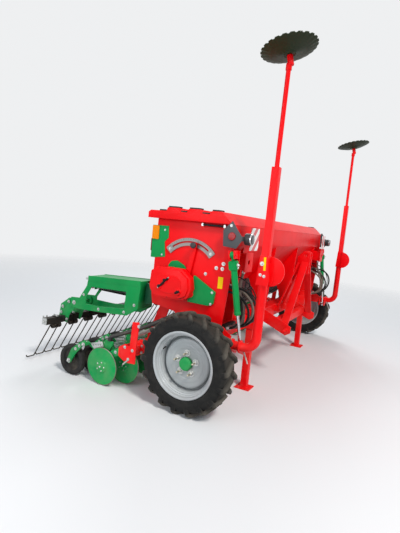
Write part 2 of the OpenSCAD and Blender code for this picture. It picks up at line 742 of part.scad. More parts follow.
// Marker boom: curved tube, fold joint, square tube and upper tube, as one folding arm
module boom() {
    bar_y(sleeve_y0 - 4, boom_y - bend_r, mark_x, mark_z, boom_r);
    translate([mark_x, boom_y - bend_r, mark_z + bend_r]) rotate([0, 90, 0])
        rotate_extrude(angle = 90) translate([bend_r, 0]) circle(r = boom_r);
    for (y = [eye_y - 32 - ear_t, eye_y + 17]) translate([0, y + ear_t, 0]) rotate([90, 0, 0])
        linear_extrude(ear_t) {
            translate([eye_x, eye_z]) circle(r = 20);
            translate([mark_x, mark_z]) circle(r = boom_r + 12);
            polygon([[eye_x - 12, eye_z + 16], [eye_x + 12, eye_z - 16],
                [mark_x + 14, mark_z - 38], [mark_x - 26, mark_z + 31]]);
        }
    translate([mark_x, boom_y, mark_z + bend_r]) cylinder(r = boom_r, h = fold_z - mark_z - bend_r);
    translate([mark_x, boom_y, fold_z]) rotate([0, -marker_lean, 0]) {
        translate([-pole_s / 2, -pole_s / 2, -10]) cube([pole_s, pole_s, pole_top - fold_z + 10]);
        translate([0, 0, pole_top - fold_z - 1]) cylinder(r = mast_d / 2, h = mast_top - pole_top);
        translate([-boom_r + 1, -boom_r + 1, -36]) cube([boom_d - 2, boom_d - 2, 110]);
        for (x = [-boom_r - 8, boom_r - 1]) side_plate(x, 9)
            polygon([[-34, -60], [40, -60], [46, -20], [24, 120], [-24, 120]]);
        side_plate(-boom_r - 18, 11) intersection() {
            translate([22, 24]) circle(r = 92);
            translate([22, -76]) square([100, 200]);
        }
    }
}

marker_z = 2256;
marker_y = 395;
marker_tilt = 13;
marker_x = mark_x - (marker_z - fold_z) * sin(marker_lean);
module at_marker() translate([marker_x, marker_y, marker_z]) rotate([marker_tilt, 0, 0]) children();

module boom_top() {
    top = [mark_x - (mast_top - fold_z) * sin(marker_lean), boom_y, mast_top];
    translate(top - [0, 0, 30]) cylinder(r = mast_d / 2 + 4, h = 34);
    at_marker() {
        translate([0, 0, -72]) cylinder(r = 18, h = 58);
        translate([0, 0, -16]) cylinder(r = 10, h = 14);
    }
}

module marker_disc() at_marker() difference() {
    rotate_extrude($fn = 64)
        polygon([[10 + run, -12], [34, -12], [40, -2], [marker_d / 2 - 60, 4], [marker_d / 2, 26],
            [marker_d / 2, 30], [marker_d / 2 - 62, 8], [36, 4], [0, 4], [0, -1], [10 + run, -1]]);
    for (a = [0 : 15 : 345]) rotate(a) translate([marker_d / 2 + 4, 0, 10]) cylinder(r = 11, h = 40);
}

module marker_boom_right() color(red) placed() {
    boom();
    boom_top();
}
module marker_boom_left() color(red) placed() mirror([1, 0, 0]) {
    boom();
    boom_top();
}
module marker_disc_right() color(dark_green) placed() marker_disc();
module marker_disc_left() color(dark_green) placed() mirror([1, 0, 0]) marker_disc();

// Marker cylinder: barrel on the upper pin and rod down to the boom's lugs
barrel_r = barrel_d / 2;
rod_r = rod_d / 2;
barrel_len = 390;
module barrel() cylinder_frame() rotate([0, lean_b, 0]) difference() {
    union() {
        bar_y(-12, 12, 0, 0, 22);
        translate([0, 0, -40]) cylinder(r = 11, h = 30);
        translate([-26, -40, -98]) cube([52, 80, 60]);
        translate([0, 0, -barrel_len]) cylinder(r = barrel_r, h = barrel_len - 60);
    }
    bar_y(-13, 13, 0, 0, 10 + run);
    translate([0, 0, -barrel_len + 14]) cylinder(r = barrel_r - 6, h = barrel_len - 120);
    translate([0, 0, -barrel_len - 1]) cylinder(r = rod_r + run, h = 20);
}

module piston_rod() cylinder_frame() rotate([0, lean_b, 0]) {
    translate([0, 0, -cyl_len + 15]) cylinder(r = rod_r, h = cyl_len - barrel_len + 20);
    translate([0, 0, -cyl_len]) bar_y(-9, 9, 0, 0, 19);
}

module cylinder_right() color(green) placed() barrel();
module cylinder_left() color(green) placed() mirror([1, 0, 0]) barrel();
module rod_right() color(silver) placed() piston_rod();
module rod_left() color(silver) placed() mirror([1, 0, 0]) piston_rod();

// Parking stands
module stand(s) translate([s * stand_x, stand_y, 0]) {
    translate([-stand_s / 2, -stand_s / 2, 8]) cube([stand_s, stand_s, stand_top - 8]);
    translate([-60, -60, 0]) cube([120, 120, 8]);
}

module stand_right() color(red) placed() stand(1);
module stand_left() color(red) placed() stand(-1);

hopper();
lid();
end_panels();
front_beam();
hopper_supports();
rear_beam();
bar_hangers();
headstock();
headstock_ears();
metering_units();
seed_shaft();
seed_tubes();
gearbox();
gearbox_lever();
scale_quadrant();
chain_guard();
coulter_bar();
coulter_clamps();
coulter_arms();
press_arms();
depth_plates();
discs_front();
discs_rear();
press_wheels_front();
press_wheels_rear();
harrow_brackets();
harrow_arms();
harrow_spindles();
harrow_beam();
harrow_tines();
light_brackets();
rear_lamps();
reflectors();
board_brackets();
striped_boards();
front_lamps();
axles();
tyre_right();
tyre_left();
rim_right();
rim_left();
hub_right();
hub_left();
hub_cap_right();
hub_cap_left();
marker_brackets();
marker_boom_right();
marker_boom_left();
marker_disc_right();
marker_disc_left();
cylinder_right();
cylinder_left();
rod_right();
rod_left();
stand_right();
stand_left();
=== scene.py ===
"""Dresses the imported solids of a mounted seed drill: finishes, wheels, coulters, harrow, markers and hoses."""

from __future__ import annotations

import json
import logging
from dataclasses import dataclass
from enum import Enum
from math import atan2, copysign, cos, hypot, pi, radians, sin
from typing import Callable, Iterable, Sequence

import bmesh
import bpy
from mathutils import Matrix, Vector

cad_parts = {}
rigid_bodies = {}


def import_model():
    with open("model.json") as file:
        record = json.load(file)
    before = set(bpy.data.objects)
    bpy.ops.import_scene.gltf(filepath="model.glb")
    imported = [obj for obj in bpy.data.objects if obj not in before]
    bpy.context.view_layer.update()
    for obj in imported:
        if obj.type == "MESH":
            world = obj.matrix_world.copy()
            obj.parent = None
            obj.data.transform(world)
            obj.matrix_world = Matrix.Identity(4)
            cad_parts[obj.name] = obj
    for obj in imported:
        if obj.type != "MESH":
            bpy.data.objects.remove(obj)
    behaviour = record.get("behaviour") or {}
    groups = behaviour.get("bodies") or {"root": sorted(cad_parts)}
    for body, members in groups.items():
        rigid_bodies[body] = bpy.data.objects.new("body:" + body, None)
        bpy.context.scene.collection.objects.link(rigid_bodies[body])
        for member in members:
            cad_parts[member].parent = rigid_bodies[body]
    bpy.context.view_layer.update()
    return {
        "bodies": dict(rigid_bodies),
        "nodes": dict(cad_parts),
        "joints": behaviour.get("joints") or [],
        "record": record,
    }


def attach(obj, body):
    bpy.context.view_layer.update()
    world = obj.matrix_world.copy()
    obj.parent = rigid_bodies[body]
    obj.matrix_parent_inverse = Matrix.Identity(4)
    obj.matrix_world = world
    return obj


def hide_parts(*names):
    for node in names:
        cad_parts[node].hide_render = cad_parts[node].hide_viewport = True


LOG = logging.getLogger("seed_drill")

Point = Sequence[float]
Colour = tuple[float, float, float]
Spot = tuple[Vector, Vector, float]
BMesh = bmesh.types.BMesh
Material = bpy.types.Material
Mesh = bpy.types.Mesh
Socket = bpy.types.NodeSocket

AXLE_Y = 0.46125
MM = 0.001
PANEL_X = 1250.0
FINE, WIDE = 0.0012, 0.004
X, Y, Z = Vector((1, 0, 0)), Vector((0, 1, 0)), Vector((0, 0, 1))


def place(x: float, y: float, z: float) -> Vector:
    """A point in the row frame, from millimetres counted from the axle along Y."""
    return Vector((x * MM, y * MM + AXLE_Y, z * MM))


def outline(x: float, points: Iterable[Point]) -> list[Vector]:
    """Points (y, z) in the plane at x, all in millimetres."""
    return [place(x, y, z) for y, z in points]


def square(low_a: float, low_b: float, high_a: float, high_b: float) -> list[Point]:
    """The corners of a rectangle, from two opposite ones."""
    return [(low_a, low_b), (high_a, low_b), (high_a, high_b), (low_a, high_b)]


class Side(Enum):
    """The drill's two sides, seen from behind."""

    RIGHT = 1
    LEFT = -1

    @property
    def word(self) -> str:
        """The side as it stands in the names of nodes and bodies."""
        return self.name.lower()

    @property
    def out(self) -> Vector:
        """The direction outwards."""
        return Vector((self.value, 0, 0))


class Head(Enum):
    """What shows of a fastener."""

    BOLT = "bolt"
    NUT = "nut"
    DOME = "dome"


class Graph:
    """A node tree being wired, for shading or for geometry."""

    def __init__(self, tree: bpy.types.NodeTree) -> None:
        """Starts with the tree emptied."""
        self.tree = tree
        tree.nodes.clear()

    def add(self, kind: str, feeds: dict | None = None, **settings: object) -> bpy.types.Node:
        """Adds one node.

        Args:
            kind: The node's type in Blender.
            feeds: Input name or index mapped to a value or to another node's socket.
            settings: Attributes set on the node.

        Returns:
            The new node.
        """
        node = self.tree.nodes.new(kind)
        for key, value in settings.items():
            setattr(node, key, value)
        for key, value in (feeds or {}).items():
            socket = node.inputs[key]
            if isinstance(value, Socket):
                self.tree.links.new(value, socket)
            else:
                socket.default_value = (*value, 1.0) if socket.type == "RGBA" else value
        return node


class Surface(Graph):
    """A material's node tree, with the small groups of nodes that the finishes share."""

    def __init__(self, name: str) -> None:
        """Makes the material and its coordinates."""
        self.material = bpy.data.materials.new(name)
        self.material.use_nodes = True
        super().__init__(self.material.node_tree)
        self.where = self.add("ShaderNodeTexCoord").outputs["Object"]

    def noise(self, scale: float, detail: float = 3.0, rough: float = 0.5, where: Socket | None = None) -> Socket:
        """A noise value from 0 to 1.

        Args:
            scale: Features per metre.
            detail: Octaves.
            rough: Share kept by each finer octave.
            where: Coordinates, or None for the object's own.

        Returns:
            The value's socket.
        """
        return self.add("ShaderNodeTexNoise", {"Vector": where or self.where, "Scale": scale, "Detail": detail,
                                               "Roughness": rough}).outputs["Fac"]

    def cells(self, scale: float, uneven: float = 1.0) -> Socket:
        """Distance to the middle of the nearest cell."""
        return self.add("ShaderNodeTexVoronoi", {"Vector": self.where, "Scale": scale,
                                                 "Randomness": uneven}).outputs["Distance"]

    def stretched(self, factors: Point) -> Socket:
        """The object's coordinates, scaled along each axis."""
        return self.add("ShaderNodeMapping", {"Vector": self.where, "Scale": factors}).outputs[0]

    def span(self, value: Socket, low: float, high: float, to_low: float = 0.0, to_high: float = 1.0) -> Socket:
        """A value moved from one range to another and kept inside it."""
        return self.add("ShaderNodeMapRange", {"Value": value, "From Min": low, "From Max": high,
                                               "To Min": to_low, "To Max": to_high}).outputs[0]

    def calc(self, operation: str, a: object, b: object = 0.0) -> Socket:
        """One step of arithmetic on two values."""
        return self.add("ShaderNodeMath", {0: a, 1: b}, operation=operation).outputs[0]

    def times(self, a: object, b: object) -> Socket:
        """The product of two values."""
        return self.calc("MULTIPLY", a, b)

    def plus(self, a: object, b: object) -> Socket:
        """The sum of two values."""
        return self.calc("ADD", a, b)

    def blend(self, share: object, first: object, second: object) -> Socket:
        """A mix of two colours, each a socket or a triple."""
        return self.add("ShaderNodeMix", {0: share, 6: first, 7: second}, data_type="RGBA").outputs[2]

    def edges(self, radius: float) -> Socket:
        """1 along sharp outer and inner edges, 0 on flat faces."""
        round_off = self.add("ShaderNodeBevel", {"Radius": radius}, samples=4).outputs[0]
        true = self.add("ShaderNodeNewGeometry").outputs["Normal"]
        dot = self.add("ShaderNodeVectorMath", {0: round_off, 1: true}, operation="DOT_PRODUCT")
        return self.span(dot.outputs["Value"], 0.985, 0.90)

    def low_dust(self, top: float) -> Socket:
        """More near the floor, none above a height in metres, broken up by noise."""
        height = self.add("ShaderNodeSeparateXYZ", {0: self.where}).outputs["Z"]
        return self.times(self.span(height, top, 0.0), self.span(self.noise(9.0, 6.0, 0.62), 0.38, 0.72))

    def bump(self, height: Socket, depth: float, strength: float) -> Socket:
        """A bumped normal."""
        return self.add("ShaderNodeBump", {"Height": height, "Distance": depth, "Strength": strength}).outputs[0]


def tint(colour: Colour, *by: float) -> Colour:
    """A colour with its channels multiplied by one factor, or by three."""
    return tuple(c * f for c, f in zip(colour, by * 3))


DUST: Colour = (0.36, 0.30, 0.22)
MADE: dict[str, Material] = {}


@dataclass(frozen=True)
class Finish:
    """What covers a piece, and the slot of the library that it stands for."""

    name: str
    colour: Colour
    slot: str

    def feeds(self, s: Surface) -> dict[str, object]:
        """Wires the look and gives the Principled shader's inputs by name."""
        raise NotImplementedError

    def material(self) -> Material:
        """The finish's material, built the first time it is asked for."""
        if self.name not in MADE:
            s = Surface(self.name)
            shader = s.add("ShaderNodeBsdfPrincipled", self.feeds(s))
            s.add("ShaderNodeOutputMaterial", {"Surface": shader.outputs[0]})
            MADE[self.name] = s.material
        return MADE[self.name]


@dataclass(frozen=True)
class Paint(Finish):
    """Sprayed paint on metal, with a little orange peel, worn edges and dust low down."""

    rough: float = 0.34
    coat: float = 0.03
    dust: float = 0.22
    shine: float = 0.14

    def feeds(self, s: Surface) -> dict[str, object]:
        """Wires the look."""
        base = s.blend(s.span(s.noise(2.3, 4.0), 0.35, 0.65), tint(self.colour, 0.90, 0.85, 0.85),
                       tint(self.colour, 1.06, 1.1, 1.1))
        worn = tuple(min(1.0, c + 0.03) for c in tint(self.colour, 1.15, 1.5, 1.5))
        base = s.blend(s.times(s.edges(0.0025), s.span(s.noise(38.0, 5.0, 0.6), 0.42, 0.62, 0.0, 0.6)), base, worn)
        dust = s.times(s.low_dust(0.85), self.dust)
        haze = s.times(s.span(s.noise(14.0, 6.0, 0.65), 0.3, 0.8), 0.10)
        return {"Base Color": s.blend(dust, base, DUST), "Coat Weight": self.coat, "Coat Roughness": 0.10,
                "Roughness": s.plus(s.plus(haze, self.rough), s.times(dust, 0.5)),
                "Normal": s.bump(s.noise(420.0, 2.0), 0.0004, 0.25), "Specular IOR Level": self.shine}


@dataclass(frozen=True)
class Plating(Finish):
    """Bare or plated metal, brushed along one axis, with dull spots."""

    rough: float = 0.38
    brush: Point = (60.0, 6.0, 60.0)
    stain: Colour = (0.30, 0.27, 0.22)
    stained: float = 0.25

    def feeds(self, s: Surface) -> dict[str, object]:
        """Wires the look."""
        streak = s.noise(9.0, 3.0, 0.5, s.stretched(self.brush))
        spots = s.times(s.span(s.noise(26.0, 6.0, 0.65), 0.5, 0.72), self.stained)
        rough = s.span(streak, 0.25, 0.75, self.rough - 0.08, self.rough + 0.12)
        return {"Base Color": s.blend(spots, s.blend(streak, tint(self.colour, 0.78), self.colour), self.stain),
                "Roughness": s.plus(rough, s.times(spots, 0.3)), "Metallic": 1.0,
                "Normal": s.bump(streak, 0.0003, 0.3)}


@dataclass(frozen=True)
class Rubber(Finish):
    """Black rubber, paler where it is scuffed and dusty; dustiest on the tread, if it has a hub."""

    rough: float = 0.72
    scuff: Colour = (0.16, 0.15, 0.13)
    scuffed: float = 0.5
    hub: tuple[float, float] | None = None
    tread: tuple[float, float] = (0.296, 0.322)

    def feeds(self, s: Surface) -> dict[str, object]:
        """Wires the look."""
        base = s.blend(s.noise(7.0, 5.0), tint(self.colour, 0.7), tint(self.colour, 1.4))
        scuff = s.times(s.span(s.noise(17.0, 8.0, 0.7), 0.45, 0.75), self.scuffed)
        base = s.blend(scuff, base, self.scuff)
        if self.hub:
            axle = s.add("ShaderNodeVectorMath", {0: s.stretched((0.0, 1.0, 1.0)), 1: (0.0, *self.hub)},
                         operation="DISTANCE").outputs["Value"]
            dusty = s.times(s.span(axle, *self.tread), s.span(s.noise(11.0, 6.0), 0.25, 0.6, 0.45, 1.0))
            base = s.blend(dusty, base, self.scuff)
        return {"Base Color": s.blend(s.times(s.edges(0.004), 0.35), base, self.scuff),
                "Roughness": s.plus(s.times(scuff, 0.25), self.rough), "Specular IOR Level": 0.15,
                "Normal": s.bump(s.noise(260.0, 4.0), 0.0006, 0.4)}


@dataclass(frozen=True)
class Moulded(Finish):
    """Moulded plastic with a fine grain."""

    rough: float = 0.5
    grain: float = 500.0
    shine: float = 0.4

    def feeds(self, s: Surface) -> dict[str, object]:
        """Wires the look."""
        base = s.blend(s.noise(11.0, 4.0), tint(self.colour, 0.85), tint(self.colour, 1.1))
        return {"Base Color": s.blend(s.times(s.low_dust(0.9), 0.3), base, DUST), "Specular IOR Level": self.shine,
                "Roughness": s.span(s.noise(30.0, 3.0), 0.3, 0.7, self.rough - 0.06, self.rough + 0.1),
                "Normal": s.bump(s.noise(self.grain, 2.0), 0.0003, 0.35)}


@dataclass(frozen=True)
class Lens(Finish):
    """A ribbed reflector or lamp lens; each rib's cell is painted lighter in its middle and darker towards its rim, a
    painted highlight and shade of the ribs.
    """

    pitch: float = 0.006
    coat: float = 0.25
    # How dark the cells' rims are painted: painted shade between the ribs.
    depth: float = 0.55
    shine: float = 0.25

    def feeds(self, s: Surface) -> dict[str, object]:
        """Wires the look."""
        cells = s.cells(1.0 / self.pitch, 0.0)
        # Painted highlight in each cell's middle, fading to the painted shade set by depth towards its rim.
        bright = tuple(min(1.0, c) for c in tint(self.colour, 1.25))
        return {"Base Color": s.blend(s.span(cells, 0.0, 0.6), bright, tint(self.colour, self.depth)),
                "Roughness": 0.22, "Coat Weight": self.coat, "Coat Roughness": 0.05,
                "Specular IOR Level": self.shine, "Normal": s.bump(cells, 0.001, 0.5)}


@dataclass(frozen=True)
class StripedSheet(Finish):
    """White reflecting sheet with slanted red stripes, in the XZ plane."""

    pitch: float = 0.10
    red: Colour = (0.62, 0.01, 0.02)

    def feeds(self, s: Surface) -> dict[str, object]:
        """Wires the look."""
        parts = s.add("ShaderNodeSeparateXYZ", {0: s.where}).outputs
        slant = s.calc("DIVIDE", s.plus(s.calc("ABSOLUTE", parts["X"]), parts["Z"]), self.pitch)
        base = s.blend(s.calc("GREATER_THAN", s.calc("FRACT", slant), 0.5), self.colour, self.red)
        return {"Base Color": s.blend(s.times(s.noise(12.0, 5.0), 0.12), base, DUST), "Roughness": 0.35,
                "Coat Weight": 0.5, "Normal": s.bump(s.cells(300.0), 0.0002, 0.3)}


RED = Paint("red_enamel", (0.86, 0.0015, 0.004), "red_paint")
GREEN = Paint("green_enamel", (0.0005, 0.275, 0.062), "green_paint", rough=0.36)
GREEN_LOW = Paint("green_enamel_dusty", (0.0005, 0.30, 0.070), "green_paint", rough=0.40, dust=0.25)
# The harrow brackets' green, darkened as painted shade for the shadow that the drive case and hopper cast on them.
SHADED_GREEN = Paint("dark_green_enamel", (0.003, 0.085, 0.035), "dark_green_paint", rough=0.4)
OLIVE = Paint("olive_steel", (0.020, 0.030, 0.012), "dark_green_paint", rough=0.45, coat=0.05)
BLACK = Paint("black_enamel", (0.010, 0.010, 0.011), "black_paint", rough=0.42, coat=0.05)
GREY = Paint("grey_enamel", (0.085, 0.092, 0.097), "grey_paint", rough=0.4)
SILVER = Paint("wheel_silver", (0.38, 0.39, 0.40), "silver_paint", rough=0.28, coat=0.25, dust=0.10, shine=0.5)
# The wheel disc's silver is a darker copy of the rim's: painted shade, as the disc faces away from the key light while
# the rim's cones catch it.
SHADED_SILVER = Paint("wheel_disc_silver", (0.33, 0.345, 0.35), "silver_paint", rough=0.38, coat=0.2, dust=0.10, shine=0.4)
SCALE = Plating("engraved_scale", (0.27, 0.25, 0.24), "zinc", rough=0.42)
ZINC = Plating("zinc_plate", (0.62, 0.63, 0.62), "zinc")
WIRE = Plating("spring_wire", (0.075, 0.065, 0.055), "black_paint", rough=0.42, stain=(0.12, 0.07, 0.04))
CHROME = Plating("polished_rod", (0.80, 0.81, 0.83), "chrome_rod", rough=0.14, stained=0.0)
BRASS = Plating("passivated_stud", (0.62, 0.55, 0.42), "zinc", rough=0.32)
EDGE = Plating("ground_edge", (0.26, 0.22, 0.19), "zinc", rough=0.34)
TYRE = Rubber("tyre_rubber", (0.012, 0.012, 0.012), "tyre_rubber", scuff=(0.090, 0.080, 0.066), scuffed=0.22,
              hub=(AXLE_Y, 0.330))
PRESS = Rubber("press_wheel_rubber", (0.022, 0.021, 0.021), "press_rubber", scuff=(0.06, 0.055, 0.05))
SLEEVE = Rubber("hose_sleeve", (0.20, 0.17, 0.14), "hose_plastic", rough=0.6, scuff=(0.30, 0.27, 0.22))
HOSE = Rubber("hose_rubber", (0.012, 0.012, 0.012), "hose_plastic", rough=0.45, scuffed=0.2)
TUBE = Moulded("black_tube", (0.016, 0.016, 0.017), "hose_plastic", rough=0.42)
PALE = Moulded("pale_tube", (0.50, 0.49, 0.45), "hose_plastic", rough=0.4)
HOUSING = Moulded("housing_plastic", (0.03, 0.03, 0.032), "housing_plastic")
LABEL = Moulded("yellow_label", (1.0, 0.62, 0.001), "housing_plastic", rough=0.45, shine=0.12)
# All three lenses carry the Lens finish's painted highlight and shade in their cells.
RED_LENS = Lens("red_lens", (0.42, 0.003, 0.006), "red_lens")
ORANGE_LENS = Lens("orange_lens", (1.0, 0.27, 0.0005), "orange_lens", coat=0.05, depth=0.8, shine=0.1)
DARK_LENS = Lens("dark_lens", (0.035, 0.038, 0.045), "housing_plastic", coat=1.0)
BOARD = StripedSheet("board_sheet", (0.84, 0.84, 0.82), "board_paint")


def to_mesh(bm: BMesh, outward: bool = True) -> Mesh:
    """Writes a bmesh to a new mesh, with doubles merged and normals turned out."""
    bmesh.ops.remove_doubles(bm, verts=bm.verts, dist=1e-6)
    if outward:
        bmesh.ops.recalc_face_normals(bm, faces=bm.faces)
    mesh = bpy.data.meshes.new("part")
    bm.to_mesh(mesh)
    bm.free()
    return mesh


def merged(parts: Iterable[Mesh | BMesh]) -> Mesh:
    """Several shapes as one mesh."""
    bm = bmesh.new()
    for part in parts:
        bm.from_mesh(to_mesh(part) if isinstance(part, BMesh) else part)
    mesh = bpy.data.meshes.new("parts")
    bm.to_mesh(mesh)
    bm.free()
    return mesh


def settle(name: str, shape: Mesh | BMesh | list, finish: Finish, body: str = "frame",
           stands_for: Iterable[str] = (), smooth: float = 32.0) -> None:
    """Turns a shape into a finished piece of the drill, which rides on its body.

    Args:
        name: The piece's name.
        shape: A mesh, a bmesh or a list of them, in the row frame.
        finish: What covers it.
        body: The body it moves with.
        stands_for: CAD nodes that it replaces.
        smooth: Edges below this angle, in degrees, are shaded round.
    """
    if isinstance(shape, list):
        shape = merged(shape)
    mesh = to_mesh(shape) if isinstance(shape, BMesh) else shape
    mesh.name = name
    mesh.shade_smooth()
    mesh.set_sharp_from_angle(angle=radians(smooth))
    piece = bpy.data.objects.new(name, mesh)
    bpy.context.scene.collection.objects.link(piece)
    mesh.materials.clear()
    mesh.materials.append(finish.material())
    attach(piece, body)
    if stands_for:
        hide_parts(*stands_for)
    LOG.info("%s: %d faces on %s", name, len(mesh.polygons), body)


def softened(nodes: Sequence[bpy.types.Object], width: float) -> Mesh:
    """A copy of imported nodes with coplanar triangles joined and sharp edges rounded.

    Args:
        nodes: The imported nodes.
        width: Width of the rounding, in metres.

    Returns:
        One mesh in the row frame.
    """
    bm = bmesh.new()
    for node in nodes:
        bm.from_mesh(node.data)
    bmesh.ops.remove_doubles(bm, verts=bm.verts, dist=2e-5)
    bmesh.ops.dissolve_limit(bm, angle_limit=radians(1.0), verts=bm.verts, edges=bm.edges)
    if width > 0.0:
        sharp = [e for e in bm.edges if len(e.link_faces) == 2 and e.calc_face_angle(0.0) > radians(34)]
        bmesh.ops.bevel(bm, geom=sharp, offset=width, segments=2, affect="EDGES", clamp_overlap=True, profile=0.6)
    bmesh.ops.triangulate(bm, faces=[f for f in bm.faces if len(f.verts) > 4])
    return to_mesh(bm, outward=False)


def rounded_path(points: Sequence[Point], radius: float, steps: int = 5) -> list[Vector]:
    """A polyline with each inner corner replaced by an arc-like curve.

    Args:
        points: Corners of the line.
        radius: How far from a corner the rounding starts, at most.
        steps: Points in each rounding.

    Returns:
        The new points.
    """
    corners = [Vector(p) for p in points]
    path = [corners[0]]
    for before, corner, after in zip(corners, corners[1:], corners[2:]):
        reach = min(radius, (before - corner).length * 0.49, (after - corner).length * 0.49)
        start = corner + (before - corner).normalized() * reach
        end = corner + (after - corner).normalized() * reach
        for k in range(steps + 1):
            t = k / steps
            path.append(start * (1 - t) ** 2 + corner * 2 * t * (1 - t) + end * t ** 2)
    return path + [corners[-1]]


def rounded_loop(points: Sequence[Point], radius: float, steps: int = 3) -> list[Vector]:
    """A closed outline with its corners rounded."""
    closed = [Vector(p) for p in points]
    middle = (closed[0] + closed[-1]) / 2
    return rounded_path([middle, *closed, middle], radius, steps)[:-1]


def bezier(points: Sequence[Vector], steps: int = 40) -> list[Vector]:
    """A smooth curve led by control points.

    Args:
        points: The control points; the curve starts at the first and ends at the last.
        steps: How many spans the curve is cut into.

    Returns:
        The points on the curve, both ends included.
    """
    curve = []
    for k in range(steps + 1):
        level = list(points)
        while len(level) > 1:
            level = [a.lerp(b, k / steps) for a, b in zip(level, level[1:])]
        curve.append(level[0])
    return curve


def coil(start: Point, length: float, radius: float, turns: int, steps: int) -> list[Vector]:
    """The centre line of a coil spring along Y.

    Args:
        start: Where its axis starts, in millimetres.
        length: How far it goes along Y.
        radius: Radius of the coil.
        turns: Turns in all.
        steps: Points in each turn.

    Returns:
        The points, in the row frame.
    """
    x, y, z = start
    total = turns * steps
    return [place(x + radius * cos(2 * pi * k / steps), y + length * k / total, z + radius * sin(2 * pi * k / steps))
            for k in range(total + 1)]


def lathe(profile: Sequence[Point], centre: Vector, axis: Vector, segments: int, soft: float = 0.0,
          closed: bool = False) -> BMesh:
    """Spins a profile about an axis.

    Args:
        profile: Points (radius, place along the axis), in metres.
        centre: A point on the axis.
        axis: The axis.
        segments: Steps round the circle.
        soft: How far the profile's corners are rounded.
        closed: Whether the profile's ends are joined.

    Returns:
        The spun shape.
    """
    if soft:
        profile = rounded_loop(profile, soft) if closed else rounded_path(profile, soft)
    bm = bmesh.new()
    frame = Matrix.Translation(centre) @ axis.to_track_quat("Z", "Y").to_matrix().to_4x4()
    rings = []
    for k in range(segments):
        a = 2 * pi * k / segments
        rings.append([bm.verts.new(frame @ Vector((r * cos(a), r * sin(a), h))) for r, h in profile])
    for one, two in zip(rings, rings[1:] + rings[:1]):
        for i in range(len(profile) if closed else len(profile) - 1):
            j = (i + 1) % len(profile)
            bm.faces.new([one[i], one[j], two[j], two[i]])
    return bm


def sweep(paths: Sequence[Sequence[Vector]], radius: float, sides: int = 12,
          radii: Callable[[float], float] = lambda share: 1.0) -> BMesh:
    """Round tubes along paths, closed at both ends.

    Args:
        paths: Centre lines.
        radius: Radius of the tubes.
        sides: Sides of each ring.
        radii: Factor on the radius for a share of the path from 0 to 1.

    Returns:
        All tubes in one shape.
    """
    bm = bmesh.new()
    for path in paths:
        last = len(path) - 1
        tangents = [(path[min(i + 1, last)] - path[max(i - 1, 0)]).normalized() for i in range(last + 1)]
        normal = tangents[0].orthogonal().normalized()
        rings = []
        for i, (point, tangent) in enumerate(zip(path, tangents)):
            normal = (normal - tangent * normal.dot(tangent)).normalized()
            side = tangent.cross(normal)
            r = radius * radii(i / last)
            rings.append([bm.verts.new(point + (normal * cos(a) + side * sin(a)) * r)
                          for a in (2 * pi * k / sides for k in range(sides))])
        for one, two in zip(rings, rings[1:]):
            for k in range(sides):
                bm.faces.new([one[k], one[(k + 1) % sides], two[(k + 1) % sides], two[k]])
        bm.faces.new(rings[0][::-1])
        bm.faces.new(rings[-1])
    return bm


def block(corners: Sequence[Point], depth: float, axis: Vector, edge: float = 0.001) -> BMesh:
    """A flat outline drawn out along an axis, with rounded edges.

    Args:
        corners: The outline, in the row frame.
        depth: How far it is drawn out.
        axis: Which way.
        edge: Width of the rounding.

    Returns:
        The shape.
    """
    bm = bmesh.new()
    low = [bm.verts.new(Vector(c)) for c in corners]
    high = [bm.verts.new(Vector(c) + axis * depth) for c in corners]
    bm.faces.new(low)
    bm.faces.new(high[::-1])
    for k in range(len(low)):
        j = (k + 1) % len(low)
        bm.faces.new([low[j], low[k], high[k], high[j]])
    bmesh.ops.recalc_face_normals(bm, faces=bm.faces)
    if edge > 0:
        sharp = [e for e in bm.edges if e.calc_face_angle(0.0) > radians(30)]
        bmesh.ops.bevel(bm, geom=sharp, offset=edge, segments=2, affect="EDGES", clamp_overlap=True)
    return bm


def plate(side: Side, x: float, points: Iterable[Point], depth: float, edge: float = 0.001) -> BMesh:
    """A flat plate on a side.

    Args:
        side: The side.
        x: Its inner face, in millimetres from the middle.
        points: Its outline as (y, z).
        depth: Its thickness, in metres.
        edge: Width of the rounding, in metres.

    Returns:
        The shape.
    """
    return block(outline(side.value * x, points), depth, side.out, edge)


def holed_plate(outer: Sequence[Point], hole: Sequence[Point], depth: float, axis: Vector) -> BMesh:
    """A flat plate with one hole, drawn out along an axis.

    Args:
        outer: The plate's outline, in the row frame.
        hole: The hole's outline.
        depth: Its thickness.
        axis: Which way it is drawn out.

    Returns:
        The shape.
    """
    bm = bmesh.new()
    for loop in (outer, hole):
        verts = [bm.verts.new(Vector(c)) for c in loop]
        for one, two in zip(verts, verts[1:] + verts[:1]):
            bm.edges.new((one, two))
    flat = bmesh.ops.triangle_fill(bm, edges=list(bm.edges), use_beauty=True)
    faces = [f for f in flat["geom"] if isinstance(f, bmesh.types.BMFace)]
    drawn = bmesh.ops.extrude_face_region(bm, geom=faces, use_keep_orig=True)
    moved = [v for v in drawn["geom"] if isinstance(v, bmesh.types.BMVert)]
    bmesh.ops.translate(bm, verts=moved, vec=axis * depth)
    bmesh.ops.recalc_face_normals(bm, faces=bm.faces)
    return bm


def mirrored(mesh: Mesh, side: Side) -> Mesh:
    """A mesh made for the right side, turned into the left one where asked."""
    if side is Side.LEFT:
        mesh.transform(Matrix.Scale(-1.0, 4, X))
        mesh.flip_normals()
    return mesh


